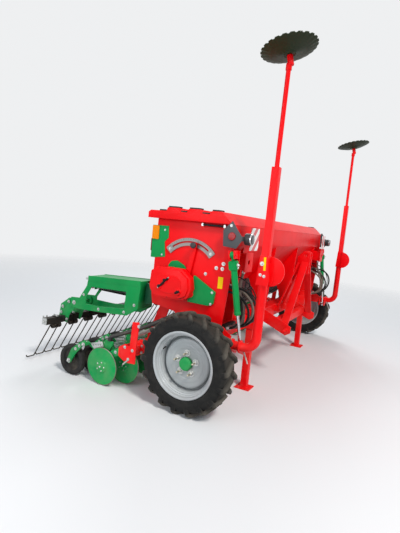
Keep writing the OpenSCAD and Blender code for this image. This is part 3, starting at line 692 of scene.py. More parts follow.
class Grower(Graph):
    """A Geometry Nodes tree with named inputs, run once on a mesh to make a plain mesh."""

    def __init__(self, name: str, sizes: dict[str, float | int]) -> None:
        """Opens the tree.

        Args:
            name: The tree's name.
            sizes: Named inputs with their values.
        """
        super().__init__(bpy.data.node_groups.new(name, "GeometryNodeTree"))
        face = self.tree.interface
        face.new_socket("Geometry", in_out="INPUT", socket_type="NodeSocketGeometry")
        for key, value in sizes.items():
            kind = "NodeSocketInt" if isinstance(value, int) else "NodeSocketFloat"
            face.new_socket(key, in_out="INPUT", socket_type=kind)
        face.new_socket("Geometry", in_out="OUTPUT", socket_type="NodeSocketGeometry")
        self.sizes = sizes
        self.given = self.add("NodeGroupInput").outputs

    def shift(self, part: Socket, z: float) -> Socket:
        """A geometry moved up by z."""
        return self.add("GeometryNodeTransform", {"Geometry": part, "Translation": (0.0, 0.0, z)}).outputs[0]

    def drum(self, sides: int, radius: float, height: float, z: float, top: float | None = None) -> Socket:
        """A prism or a cut cone standing on z along Z."""
        if top is None:
            node = self.add("GeometryNodeMeshCylinder", {"Vertices": sides, "Radius": radius, "Depth": height})
            return self.shift(node.outputs["Mesh"], z + height / 2)
        node = self.add("GeometryNodeMeshCone", {"Vertices": sides, "Radius Top": top, "Radius Bottom": radius,
                                                 "Depth": height})
        return self.shift(node.outputs["Mesh"], z)

    def copy_to(self, points: Socket, feeds: dict, finish: Finish) -> None:
        """Ends the tree in copies at points, realized and with their material.

        Args:
            points: Where the copies go.
            feeds: What Instance on Points takes besides them.
            finish: What covers the copies.
        """
        copies = self.add("GeometryNodeInstanceOnPoints", {"Points": points, **feeds}).outputs[0]
        real = self.add("GeometryNodeRealizeInstances", {"Geometry": copies}).outputs[0]
        done = self.add("GeometryNodeSetMaterial", {"Geometry": real, "Material": finish.material()})
        self.add("NodeGroupOutput", {0: done.outputs[0]})

    def grow(self, seed: Mesh) -> Mesh:
        """Runs the tree on a mesh.

        Args:
            seed: What enters as Geometry.

        Returns:
            The result as a plain mesh.
        """
        carrier = bpy.data.objects.new(self.tree.name, seed)
        bpy.context.scene.collection.objects.link(carrier)
        modifier = carrier.modifiers.new(self.tree.name, "NODES")
        modifier.node_group = self.tree
        for item in self.tree.interface.items_tree:
            if item.in_out == "INPUT" and item.name in self.sizes:
                modifier[item.identifier] = self.sizes[item.name]
        bpy.context.view_layer.update()
        mesh = bpy.data.meshes.new_from_object(carrier.evaluated_get(bpy.context.evaluated_depsgraph_get()))
        carrier.modifiers.remove(modifier)
        bpy.data.objects.remove(carrier)
        return mesh


def heads(side: Side, x: float, points: Iterable[Point], size: float) -> list[Spot]:
    """Spots for fasteners at points (y, z) of a side's plane x, facing outwards."""
    return [(p, side.out, size) for p in outline(side.value * x, points)]


def fasten(name: str, spots: Sequence[Spot], head: Head = Head.BOLT, finish: Finish = ZINC,
           body: str = "frame") -> None:
    """Puts a screw head, nut or dome at each spot, as one piece.

    Args:
        name: The piece's name.
        spots: Place on the surface, outward direction and width across flats, in metres.
        head: Which kind.
        finish: Its finish.
        body: The body it moves with.
    """
    tree = Grower(f"{name}_{head.value}", {"Washer Radius": 0.95, "Washer Height": 0.14})
    if head is Head.DOME:
        parts = [tree.drum(14, 0.78, 0.22, 0.0, 0.66), tree.drum(14, 0.66, 0.16, 0.22, 0.30)]
    else:
        washer = tree.add("GeometryNodeMeshCylinder", {"Vertices": 14, "Radius": tree.given["Washer Radius"],
                                                       "Depth": tree.given["Washer Height"]}).outputs["Mesh"]
        parts = [tree.shift(washer, 0.03), tree.drum(6, 0.577, 0.52, 0.05), tree.drum(6, 0.577, 0.10, 0.57, 0.47)]
    if head is Head.NUT:
        parts += [tree.drum(10, 0.28, 0.40, 0.45), tree.drum(10, 0.28, 0.06, 0.85, 0.20)]
    join = tree.add("GeometryNodeJoinGeometry")
    for part in parts:
        tree.tree.links.new(part, join.inputs[0])
    aim = tree.add("GeometryNodeInputNamedAttribute", {"Name": "aim"}, data_type="FLOAT_VECTOR").outputs[0]
    size = tree.add("GeometryNodeInputNamedAttribute", {"Name": "size"}, data_type="FLOAT").outputs[0]
    turn = tree.add("FunctionNodeAlignRotationToVector", {"Vector": aim}, axis="Z").outputs[0]
    tree.copy_to(tree.given["Geometry"], {"Instance": join.outputs[0], "Rotation": turn, "Scale": size}, finish)
    cloud = bpy.data.meshes.new("spots")
    cloud.from_pydata([p for p, _, _ in spots], [], [])
    cloud.attributes.new("aim", "FLOAT_VECTOR", "POINT").data.foreach_set("vector", [c for _, d, _ in spots for c in d])
    cloud.attributes.new("size", "FLOAT", "POINT").data.foreach_set("value", [s for _, _, s in spots])
    settle(name, tree.grow(cloud), finish, body, smooth=25.0)


def ring(name: str, shape: Mesh, count: int, finish: Finish, centre: Vector, phase: float = 0.0) -> Mesh:
    """Repeats a shape round the X axis.

    Args:
        name: The tree's name.
        shape: One copy, about the origin.
        count: How many.
        finish: Its finish.
        centre: Where the ring's centre goes.
        phase: Turn of the first copy, in radians.

    Returns:
        The ring as one mesh.
    """
    tree = Grower(name, {"Count": count, "Phase": phase})
    index = tree.add("GeometryNodeInputIndex").outputs[0]
    step = tree.add("ShaderNodeMath", {0: 2 * pi, 1: tree.given["Count"]}, operation="DIVIDE").outputs[0]
    angle = tree.add("ShaderNodeMath", {0: index, 1: step, 2: tree.given["Phase"]},
                     operation="MULTIPLY_ADD").outputs[0]
    turn = tree.add("ShaderNodeCombineXYZ", {"X": angle}).outputs[0]
    points = tree.add("GeometryNodePoints", {"Count": tree.given["Count"]}).outputs[0]
    tree.copy_to(points, {"Instance": tree.given["Geometry"], "Rotation": turn}, finish)
    mesh = tree.grow(shape)
    mesh.transform(Matrix.Translation(centre))
    return mesh


@dataclass
class Sheetwork:
    """Beams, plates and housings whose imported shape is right: edges rounded and painted."""

    packed: dict[str, bpy.types.Object]
    still: Sequence[tuple[str, str, Finish, float]] = (
        ("hopper_shell", "hopper", RED, FINE), ("side_panels", "end_panels", RED, FINE),
        ("front_beam_tube", "front_beam", RED, WIDE), ("hopper_gussets", "hopper_supports", RED, FINE),
        ("rear_beam_tube", "rear_beam", RED, WIDE), ("hanger_plates", "bar_hangers", RED, FINE),
        ("hitch_headstock", "headstock headstock_ears", RED, FINE),
        ("metering_housings", "metering_units", HOUSING, WIDE), ("metering_shaft", "seed_shaft", ZINC, FINE),
        ("drive_case", "gearbox", RED, WIDE), ("coulter_tube", "coulter_bar", RED, FINE),
        ("coulter_hexes", "coulter_clamps", RED, FINE), ("coulter_stalks", "coulter_arms", GREEN, FINE),
        ("press_stalks", "press_arms", GREEN, FINE), ("notched_plates", "depth_plates", ZINC, FINE),
        # The harrow brackets take the darkened green: painted shade.
        ("harrow_feet", "harrow_brackets", SHADED_GREEN, FINE), ("harrow_screws", "harrow_spindles", ZINC, FINE),
        ("rear_lamp_boxes", "rear_lamps", RED_LENS, WIDE), ("board_arms", "board_brackets", GREY, FINE),
        ("road_boards", "striped_boards", BOARD, 0.0), ("front_lamp_pots", "front_lamps", HOUSING, WIDE),
        ("stub_axles", "axles", ZINC, FINE))
    moving: Sequence[tuple[str, str, Finish, float, str]] = (
        ("marker_arm", "marker_boom", RED, FINE, "marker"),
        ("marker_blade", "marker_disc", OLIVE, 0.0, "marker_wheel"),
        ("lift_rod", "rod", CHROME, FINE, "rod"), ("parking_leg", "stand", RED, FINE, "stand"))

    def build(self) -> None:
        """Dresses the nodes of the two tables: name, nodes, finish, rounding and, where it moves, body."""
        rows = [(name, nodes.split(), finish, width, "frame") for name, nodes, finish, width in self.still]
        rows += [(f"{name}_{side.word}", [f"{node}_{side.word}"], finish, width, f"{body}_{side.word}")
                 for side in Side for name, node, finish, width, body in self.moving]
        for name, nodes, finish, width, body in rows:
            settle(name, softened([self.packed[n] for n in nodes], width), finish, body, nodes)


@dataclass
class RoadWheel:
    """A road wheel: lugged tyre, dished rim, studs and cap, for one side."""

    side: Side
    centre: Point = (1417.5, 0.0, 330.0)
    tyre_r: float = 0.330
    carcass_r: float = 0.308
    lugs: int = 18
    lug_lean: float = radians(40)
    studs: int = 5
    stud_r: float = 0.070

    def build(self) -> None:
        """Makes the wheel's pieces."""
        self.hub = place(*self.centre)
        self.make_tyre()
        self.make_rim()
        self.make_hub()

    def put(self, name: str, mesh: Mesh, finish: Finish, node: str = "", smooth: float = 32.0) -> None:
        """Sets a piece made for the right side on this side's wheel."""
        w = self.side.word
        nodes = [f"{node}_{w}"] if node else []
        settle(f"{name}_{w}", mirrored(mesh, self.side), finish, f"wheel_{w}", nodes, smooth)

    def lug_mesh(self) -> Mesh:
        """One lug of the right half: a curved bar from the middle down over the shoulder."""
        bm = bmesh.new()
        stations = [(-0.006, 0.0, 1.0), (0.0, 0.0, 1.0), (0.020, 0.0, 1.0), (0.040, 0.0, 1.0), (0.056, 0.0, 1.05),
                    (0.066, 0.003, 1.12), (0.0745, 0.011, 1.2), (0.0795, 0.024, 1.22), (0.0815, 0.040, 1.1),
                    (0.0815, 0.056, 0.9)]
        rows = []
        for x, drop, wide in stations:
            along = -0.0242 + min(max(x, 0.0), 0.075) * self.lug_slope() * (0.82 + 2.2 * max(x, 0.0))
            top = self.tyre_r - drop
            foot = min(self.carcass_r - 0.004, top - 0.010)
            half_top, half_foot = 0.0105 * wide, 0.0165 * wide
            row = []
            for r, half in ((foot, half_foot), (top - 0.003, half_top), (top, half_top - 0.0022),
                            (top, -half_top + 0.0022), (top - 0.003, -half_top), (foot, -half_foot)):
                angle = (along + half) / self.tyre_r
                inset = 0.004 if r == foot and x > 0.07 else 0.0
                row.append(bm.verts.new((x - inset, r * sin(angle), r * cos(angle))))
            rows.append(row)
        for one, two in zip(rows, rows[1:]):
            for k in range(6):
                j = (k + 1) % 6
                bm.faces.new([one[k], one[j], two[j], two[k]])
        bm.faces.new(rows[0])
        bm.faces.new(rows[-1][::-1])
        return to_mesh(bm)

    def lug_slope(self) -> float:
        """How far a lug runs round the tyre for each metre across it."""
        return sin(self.lug_lean) / cos(self.lug_lean)

    def make_tyre(self) -> None:
        """Carcass with ribbed side walls, and two rows of lugs."""
        half = [(0.206, 0.064), (0.214, 0.070), (0.224, 0.0705), (0.230, 0.0755), (0.233, 0.0755), (0.236, 0.0765),
                (0.250, 0.0805), (0.2535, 0.0815), (0.257, 0.0808), (0.268, 0.0812), (0.271, 0.0800), (0.284, 0.0770),
                (0.296, 0.0690), (0.304, 0.0560), (0.3075, 0.030), (self.carcass_r, 0.0)]
        profile = half + [(r, -x) for r, x in reversed(half[:-1])]
        right = self.lug_mesh()
        left = mirrored(right.copy(), Side.LEFT)
        rows = [ring(f"lug_row_{k}", lug, self.lugs, TYRE, Vector(), k * pi / self.lugs)
                for k, lug in enumerate((right, left))]
        tyre = merged([lathe(profile, Vector(), X, 112, closed=True), *rows])
        tyre.transform(Matrix.Translation(self.hub))
        self.put("tyre_skin", tyre, TYRE, "tyre", 38.0)

    def make_rim(self) -> None:
        """A well rim, its dished disc and a valve."""
        well = [(0.2195, 0.0715), (0.219, 0.067), (0.2075, 0.0655), (0.2055, 0.042), (0.188, 0.032), (0.188, -0.025),
                (0.2055, -0.040), (0.2075, -0.0655), (0.219, -0.067), (0.2195, -0.0715), (0.215, -0.0745),
                (0.203, -0.071), (0.200, -0.042), (0.180, -0.028), (0.180, 0.022), (0.1835, 0.0275),
                (0.1855, 0.0385), (0.1925, 0.0405), (0.1945, 0.0485), (0.2005, 0.0505), (0.2035, 0.0710),
                (0.208, 0.0735), (0.215, 0.0750)]
        dish = [(0.047, 0.012), (0.096, 0.012), (0.100, 0.0140), (0.120, 0.0140), (0.126, 0.012), (0.148, 0.012),
                (0.158, 0.009), (0.1645, 0.001), (0.166, -0.010), (0.166, -0.024), (0.180, -0.024), (0.180, -0.030),
                (0.161, -0.030), (0.160, -0.008), (0.154, 0.002), (0.146, 0.005), (0.047, 0.005)]
        stem = [rounded_path([(0.030, 0.0, 0.172), (0.052, 0.0, 0.172), (0.066, 0.0, 0.166)], 0.01)]
        hub = Matrix.Translation(self.hub)
        for name, shape, turn, finish, node in (
                ("wheel_rim", lathe(well, Vector(), X, 112, 0.003, True), 0.0, SILVER, "rim"),
                # The disc takes the darker silver copy: painted shade.
                ("wheel_disc", lathe(dish, Vector(), X, 112, 0.002, True), 0.0, SHADED_SILVER, ""),
                ("tyre_valve", sweep(stem, 0.0038, 10, lambda t: 1.35 if t < 0.3 else (1.0 if t < 0.8 else 1.2)),
                 1.1, HOSE, "")):
            mesh = to_mesh(shape)
            mesh.transform(hub @ Matrix.Rotation(turn, 4, "X"))
            self.put(name, mesh, finish, node)

    def make_hub(self) -> None:
        """Hub, long studs with their nuts, and the domed cap."""
        back = [(0.0, -0.0715), (0.042, -0.0715), (0.042, -0.008), (0.088, -0.008), (0.088, 0.005), (0.0, 0.005)]
        self.put("wheel_hub", to_mesh(lathe(back, self.hub, X, 64, 0.002)), ZINC, "hub")
        stud = [(0.0, -0.008), (0.0068, -0.008), (0.0068, 0.057), (0.0055, 0.0585), (0.0, 0.0585)]
        shank = to_mesh(lathe(stud, Z * self.stud_r, X, 14))
        self.put("wheel_studs", ring("studs", shank, self.studs, BRASS, self.hub), BRASS)
        spots = []
        for k in range(self.studs):
            a = 2 * pi * k / self.studs
            p = self.hub + Vector((0, -sin(a), cos(a))) * self.stud_r + X * 0.0125
            spots.append((Vector((self.side.value * p.x, p.y, p.z)), self.side.out, 0.024))
        fasten(f"wheel_nuts_{self.side.word}", spots, Head.NUT, body=f"wheel_{self.side.word}")
        cap = [(0.0, 0.0395), (0.030, 0.0390), (0.039, 0.0365), (0.0435, 0.031), (0.044, 0.012), (0.0, 0.012)]
        self.put("wheel_cap", to_mesh(lathe(cap, self.hub, X, 64, 0.003)), GREEN, "hub_cap")


@dataclass
class Hopper:
    """The hopper's lid with its pads, the latches, labels, bolts and sieve."""

    packed: dict[str, bpy.types.Object]
    lid_x: float = 1285.0
    lid_z: float = 1238.3
    low: float = 54.4
    pad: float = 62.0
    latch_spot: tuple[float, float] = (1268.0, 1222.0)
    ribs: Sequence[tuple[float, float, float]] = ((-341, -256, 80.0), (-174, -90, 80.0), (-1, 66, 76.0))
    valleys: Sequence[tuple[float, float]] = ((-412, -362), (-238, -193), (-72, -20))
    packed_knots: Sequence[float] = (-502, -403, -385, -305, -289, -241, -225, -140, -124, -66, -50, 80, 158)
    shown_knots: Sequence[float] = (-502, -360, -341, -256, -240, -191, -174, -90, -74, -18, -1, 72, 158)

    def build(self) -> None:
        """Makes the hopper's pieces."""
        self.lid_shell()
        self.lid_pads()
        self.latch()
        self.stickers()
        self.sieve()

    def lid_shell(self) -> None:
        """The lid's sheet, its ribs moved to where the photograph shows them."""
        mesh = softened([self.packed["lid"]], WIDE)
        spans = list(zip(self.packed_knots, self.packed_knots[1:], self.shown_knots, self.shown_knots[1:]))
        for v in mesh.vertices:
            y = (v.co.y - AXLE_Y) / MM
            for a, b, c, d in spans:
                if a <= y < b:
                    v.co.y = AXLE_Y + (c + (y - a) * (d - c) / (b - a)) * MM
                    break
        settle("lid_shell", mesh, RED, "lid", ["lid"])

    def lid_pads(self) -> None:
        """Short black pads at both ends of the lid's ribs and valleys."""
        flats = [(a + 3, b - 3, self.lid_z + h) for a, b, h in self.ribs]
        flats += [(a, b, self.lid_z + self.low) for a, b in self.valleys]
        pads = [block(outline(x, square(y0, z - 1, y1, z + 9.5)), self.pad * MM, X, 0.003)
                for y0, y1, z in flats for x in (-self.lid_x + 2, self.lid_x - 2 - self.pad)]
        settle("lid_pads", pads, HOSE, "lid")

    def latch(self) -> None:
        """A dark rod with bright ends under the lid's edge, on each side."""
        end = [(0, -0.009), (0.010, -0.009), (0.010, 0.009), (0, 0.009)]
        for side in Side:
            x, z = side.value * self.latch_spot[0], self.latch_spot[1]
            rod = sweep([outline(x, ((y, z) for y in (-60, 40, 88)))], 0.007)
            settle(f"latch_rod_{side.word}", rod, BLACK)
            settle(f"latch_ends_{side.word}",
                   [lathe(end, place(x - side.value * 6, y, z), side.out, 20) for y in (-66, 94)], ZINC)

    def stickers(self) -> None:
        """Blank yellow labels on the panels, and bolts where beams and bearings sit behind them."""
        spots = []
        for side in Side:
            settle(f"panel_label_{side.word}", plate(side, PANEL_X + 0.2, square(78, 816, 113, 892), 0.0007, 0.0),
                   LABEL)
            spots += heads(side, PANEL_X, [(105, 980), (56, 947), (100, 947)], 0.0135)
            spots += heads(side, PANEL_X, [(30, 480), (110, 480), (30, 560), (110, 560), (-20, 898)], 0.012)
        fasten("panel_bolts", spots)

    def sieve(self) -> None:
        """A wire sieve in the hopper's mouth, seen when the lid is open."""
        bars = [[place(x, -428, 1180), place(x, 146, 1180)] for x in range(-1200, 1201, 60)]
        bars += [[place(-1234, y, 1176), place(1234, y, 1176)] for y in (-340, -240, -140, -40, 60)]
        settle("hopper_sieve", sweep(bars, 0.003, 6), ZINC)


@dataclass
class Drive:
    """The drive on the right panel: the case's cover, pins and bolts, the lever, the guards and the scale."""

    side: Side = Side.RIGHT
    face_x: float = 1337.0
    bosses: Sequence[tuple[float, float]] = ((-279, 823), (-321, 777), (-170, 758))
    pivot: tuple[float, float] = (-152.0, 865.0)
    lean: float = radians(11)
    reach: float = 0.218
    scale_r: tuple[float, float] = (206.0, 259.0)
    scale_half: float = radians(48)
    slot_half: float = radians(37)

    def build(self) -> None:
        """Makes the drive's pieces."""
        rim = [(-385, 790), (-375, 868), (-340, 887), (-265, 888), (-180, 888), (-122, 850), (-112, 790), (-128, 740),
               (-160, 722), (-265, 718), (-360, 724), (-385, 756)]
        # The cover's rim bolts are painted black: painted shade for the shadows round them, on bolts that are red.
        fasten("drive_case_bolts", heads(self.side, self.face_x - 15, rim, 0.013), finish=BLACK)
        fasten("drive_bolts", heads(self.side, self.face_x + 12, self.bosses, 0.012), Head.NUT, BLACK)
        self.case_pins()
        self.case_cover()
        self.lever()
        self.guard()
        self.scale()

    def case_pins(self) -> None:
        """Dark pins with bright ends that stand across the case's cover."""
        for name, finish, pins, radius in (
                ("case_pins", BLACK, (((-322, 770), (-250, 842)), ((-186, 748), (-152, 766))), 0.008),
                ("case_pin_ends", ZINC, (((-262, 830), (-244, 848)), ((-328, 764), (-318, 774))), 0.0055)):
            settle(name, sweep([outline(self.face_x + 10, ends) for ends in pins], radius, 14), finish)

    def case_cover(self) -> None:
        """A raised, stepped cover on the case and the bosses for its pins."""
        rim = [(-352, 790), (-344, 842), (-312, 862), (-196, 862), (-152, 832), (-146, 784), (-166, 744),
               (-262, 738), (-336, 750)]
        bosses = [lathe([(0.0, 0.0), (r, 0.0), (r * 0.86, h), (0.0, h)], place(self.face_x, y, z), X, 28, 0.002)
                  for y, z, r, h in ((-322, 772, 0.022, 0.007), (-252, 840, 0.018, 0.007), (-170, 758, 0.026, 0.008))]
        settle("case_cover", [plate(self.side, self.face_x - 1, rim, 0.005, 0.002), *bosses], RED)

    def lever(self) -> None:
        """The rate lever: a tapered plate on its pivot, with a moulded knob."""
        turn = Matrix.Translation(place(PANEL_X + 12, *self.pivot)) @ Matrix.Rotation(-self.lean, 4, "X")
        rim = [(-0.020, -0.022), (0.020, -0.022), (0.017, 0.150), (0.011, self.reach + 0.018),
               (-0.011, self.reach + 0.018), (-0.017, 0.150)]
        bar = block([turn @ Vector((0, y, z)) for y, z in rim], 0.008, X, 0.002)
        pin = lathe([(0.0, 0.0), (0.016, 0.0), (0.016, 0.012), (0.0, 0.012)], place(PANEL_X, *self.pivot), X, 28)
        settle("rate_lever", [bar, pin], RED, stands_for=["gearbox_lever"])
        knob = [(0.0, 0.0), (0.011, 0.0), (0.011, 0.010), (0.018, 0.012), (0.0215, 0.020), (0.0205, 0.030),
                (0.012, 0.0345), (0.0, 0.035)]
        settle("rate_knob", lathe(knob, turn @ Vector((0.008, 0, self.reach)), X, 32, 0.004), HOUSING)

    def guard(self) -> None:
        """The two green guards behind the case, and their bolts."""
        low = [(-96, 878), (72, 788), (63, 706), (30, 691), (-132, 692), (-110, 780)]
        high = [(-314, 922), (-290, 952), (-244, 960), (-190, 935), (-135, 884), (-135, 800), (-314, 800)]
        settle("drive_guard", [plate(self.side, PANEL_X, rim, depth, 0.003)
                               for rim, depth in ((low, 0.0235), (high, 0.012))], GREEN, stands_for=["chain_guard"])
        fasten("guard_bolts", heads(self.side, PANEL_X + 23.5, ((54, 784), (50, 706)), 0.0095))

    def arc(self, radius: float, start: float, stop: float, steps: int = 26) -> list[Vector]:
        """Points on a circle about the lever's pivot, from one angle to another."""
        angles = [start + (stop - start) * k / steps for k in range(steps + 1)]
        return outline(PANEL_X + 4, [(self.pivot[0] + radius * sin(a), self.pivot[1] + radius * cos(a))
                                     for a in angles])

    def scale(self) -> None:
        """The slotted scale on two spacers, with its divisions cut in."""
        low, high = self.scale_r
        mid, end, cut = (low + high) / 2, self.scale_half, self.slot_half
        outer = rounded_loop(self.arc(high, -end, end) + self.arc(low, end, -end), 0.012, 4)
        slot = self.arc(mid + 5.5, -cut, cut) + self.arc(mid - 5.5, cut, -cut)
        settle("rate_scale", holed_plate(outer, slot, 0.004, X), SCALE, "frame", ["scale_quadrant"], 20.0)
        ends = [(self.pivot[0] + mid * sin(a), self.pivot[1] + mid * cos(a)) for a in (-0.762, 0.762)]
        foot = [(0.0, 0.0), (0.008, 0.0), (0.008, 0.0045), (0.0, 0.0045)]
        settle("scale_spacers", [lathe(foot, p, X, 20) for p in outline(PANEL_X, ends)], ZINC)
        fasten("scale_bolts", heads(self.side, PANEL_X + 8, ends, 0.011))
        ticks = []
        for k in range(-9, 10):
            deep, top = 0.010 if k % 3 == 0 else 0.006, high * MM - 0.004
            turn = Matrix.Translation(place(PANEL_X + 8, *self.pivot)) @ Matrix.Rotation(-radians(k * 4.4), 4, "X")
            corners = [turn @ Vector((0.0, y, z)) for y, z in square(-0.0008, top - deep, 0.0008, top)]
            ticks.append(block(corners, 0.0004, X, 0.0))
        settle("scale_ticks", ticks, BLACK)


@dataclass
class Coulters:
    """The 24 rows: discs, press wheels, seed tubes and their fasteners."""

    rows: int = 24
    pitch: float = 125.0
    unit_pitch: float = 100.0
    disc: tuple[float, float] = (-682.0, 141.5)
    press: tuple[float, float] = (-983.0, 117.0)
    bar_y: float = -465.0
    stagger: float = 100.0

    def row_x(self, i: int) -> float:
        """Place of a row along X, in millimetres."""
        return (i - (self.rows - 1) / 2) * self.pitch

    def front(self, i: int) -> bool:
        """Whether a row's coulter is a short one."""
        return (i if i < self.rows / 2 else self.rows - 1 - i) % 2 == 1

    def at(self, i: int, dx: float, y: float, z: float) -> Vector:
        """A point of row i; dx counts outwards from the row, y for a long coulter."""
        x = self.row_x(i)
        return place(x + copysign(dx, x * dx), y + (self.stagger if self.front(i) else 0.0), z)

    def out(self, i: int) -> Vector:
        """Outwards at a row."""
        return Vector((copysign(1.0, self.row_x(i)), 0, 0))

    def build(self) -> None:
        """Makes the rows' pieces."""
        for front, word in ((True, "front"), (False, "rear")):
            mine = [i for i in range(self.rows) if self.front(i) == front]
            self.discs(mine, word)
            self.press_wheels(mine, word)
        self.tubes()
        self.fasteners()

    def spun(self, rows: Sequence[int], profile: Sequence[Point], dx: float, centre: tuple[float, float],
             segments: int, closed: bool = True) -> list[BMesh]:
        """One lathe shape at each of the rows."""
        return [lathe(profile, self.at(i, dx, *centre), self.out(i), segments, closed=closed) for i in rows]

    def discs(self, rows: Sequence[int], word: str) -> None:
        """Painted discs with a bare ground edge and a dished hub."""
        hub = [(0.0, 0.0215), (0.012, 0.0215), (0.021, 0.0210), (0.0235, 0.0160), (0.040, 0.0150), (0.046, 0.0125),
               (0.050, 0.0060), (0.056, 0.0045), (0.110, 0.0042), (0.1330, 0.0034), (0.1330, 0.0002), (0.030, 0.0),
               (0.030, -0.004), (0.016, -0.004), (0.016, 0.003), (0.0, 0.003)]
        edge = [(0.1325, 0.0034), (0.1345, 0.0033), (0.1375, 0.0012), (0.1375, 0.0004), (0.1345, 0.0), (0.1325, 0.0)]
        body, inner = f"coulter_discs_{word}", 14
        settle(f"{word}_discs", self.spun(rows, hub, inner, self.disc, 72, False), GREEN_LOW, body, [f"discs_{word}"])
        settle(f"{word}_disc_edges", self.spun(rows, edge, inner, self.disc, 96), EDGE, body)
        spots = []
        for i in rows:
            c, o = self.at(i, inner + 15.3, *self.disc), self.out(i)
            spots.append((self.at(i, inner + 21.5, *self.disc), o, 0.010))
            spots += [(c + Vector((0, sin(a), cos(a))) * 0.0325 + o * 0.0005, o, 0.0075)
                      for a in (2 * pi * k / 5 + 0.3 for k in range(5))]
        fasten(f"{word}_disc_bolts", spots, Head.DOME, body=body)

    def press_wheels(self, rows: Sequence[int], word: str) -> None:
        """Narrow rubber tyres on black centres."""
        tyre = [(0.082, -0.015), (0.090, -0.0225), (0.104, -0.0238), (0.113, -0.020), (0.1165, -0.011)]
        tyre += [(0.117, 0.0)] + [(r, -x) for r, x in reversed(tyre)]
        disc = [(0.009, -0.016), (0.026, -0.016), (0.032, -0.008), (0.074, -0.006), (0.084, -0.012)]
        disc += [(r, -x) for r, x in reversed(disc)]
        body = f"press_wheels_{word}"
        settle(f"{word}_press_tyres", self.spun(rows, tyre, 0.001, self.press, 64), PRESS, body, [body])
        settle(f"{word}_press_centres", self.spun(rows, disc, 0.001, self.press, 48), BLACK, body)

    def tubes(self) -> None:
        """Seed tubes: a black upper tube that slides over a pale or black lower one, each with a slight bow."""
        upper, black, pale, cuffs = [], [], [], []
        for i in range(self.rows):
            a = place((i - (self.rows - 1) / 2) * self.unit_pitch, -134, 690)
            b = self.at(i, -21, self.disc[0] + 30, self.disc[1] + 188)
            drop, rise = a - Z * 0.045, b + Vector((0, 0.006, 0.030))
            line = [a, drop] + [drop.lerp(rise, t / 10) - Z * (0.022 * sin(pi * t / 10))
                                for t in range(1, 10)] + [rise, b]
            upper.append(line[:7])
            (pale if self.front(i) else black).append(line[5:])
            cuffs.append([b, b + Vector((0, 0.001, 0.012)), b + Vector((0, 0.003, 0.024))])
        settle("seed_tubes_upper", sweep(upper, 0.018, 14, lambda t: 1.25 if t < 0.18 else 1.0), TUBE,
               stands_for=["seed_tubes"])
        settle("seed_tubes_rear", sweep(black, 0.0145), TUBE)
        settle("seed_tubes_front", sweep(pale, 0.0145), PALE)
        settle("boot_cuffs", sweep(cuffs, 0.0175, 14), TUBE)

    def fasteners(self) -> None:
        """Bolts of arms, plates, hubs and clamps, and the links at the bar's ends."""
        dy, dz = self.disc
        py, pz = self.press
        small, large = [], []
        for i in range(self.rows):
            o = self.out(i)
            small += [(self.at(i, 42, y, z), o, 0.013) for y, z in ((py + 62, pz + 104), (py + 98, pz + 134))]
            large += [(self.at(i, 42, py, pz), o, 0.019), (self.at(i, 42, py + 136, pz + 152.5), o, 0.017)]
            small += [(self.at(i, 6, y, z), o, 0.013) for y, z in ((dy + 62, dz + 92), (dy + 110, dz + 128))]
            small += [(Vector((self.at(i, 24, 0, 0).x, *place(0, self.bar_y + y, z).yz)), o, 0.013)
                      for y in (-37, 37) for z in (322, 278)]
        fasten("row_bolts_small", small)
        fasten("row_bolts_large", large, Head.NUT)
        ends = ((self.bar_y, 340), (-430, 262), (-400, 330), (-362, 505))
        fasten("bar_end_bolts", [spot for side in reversed(Side) for spot in heads(side, 1478, ends, 0.012)])
        links = [[place(s * x, y, z) for x, y, z in ((1481, -425, 262), (1486, -443, 242), (1491, -461, 222))]
                 for s in (-1, 1)]
        settle("tension_links", sweep(links, 0.005), PALE)


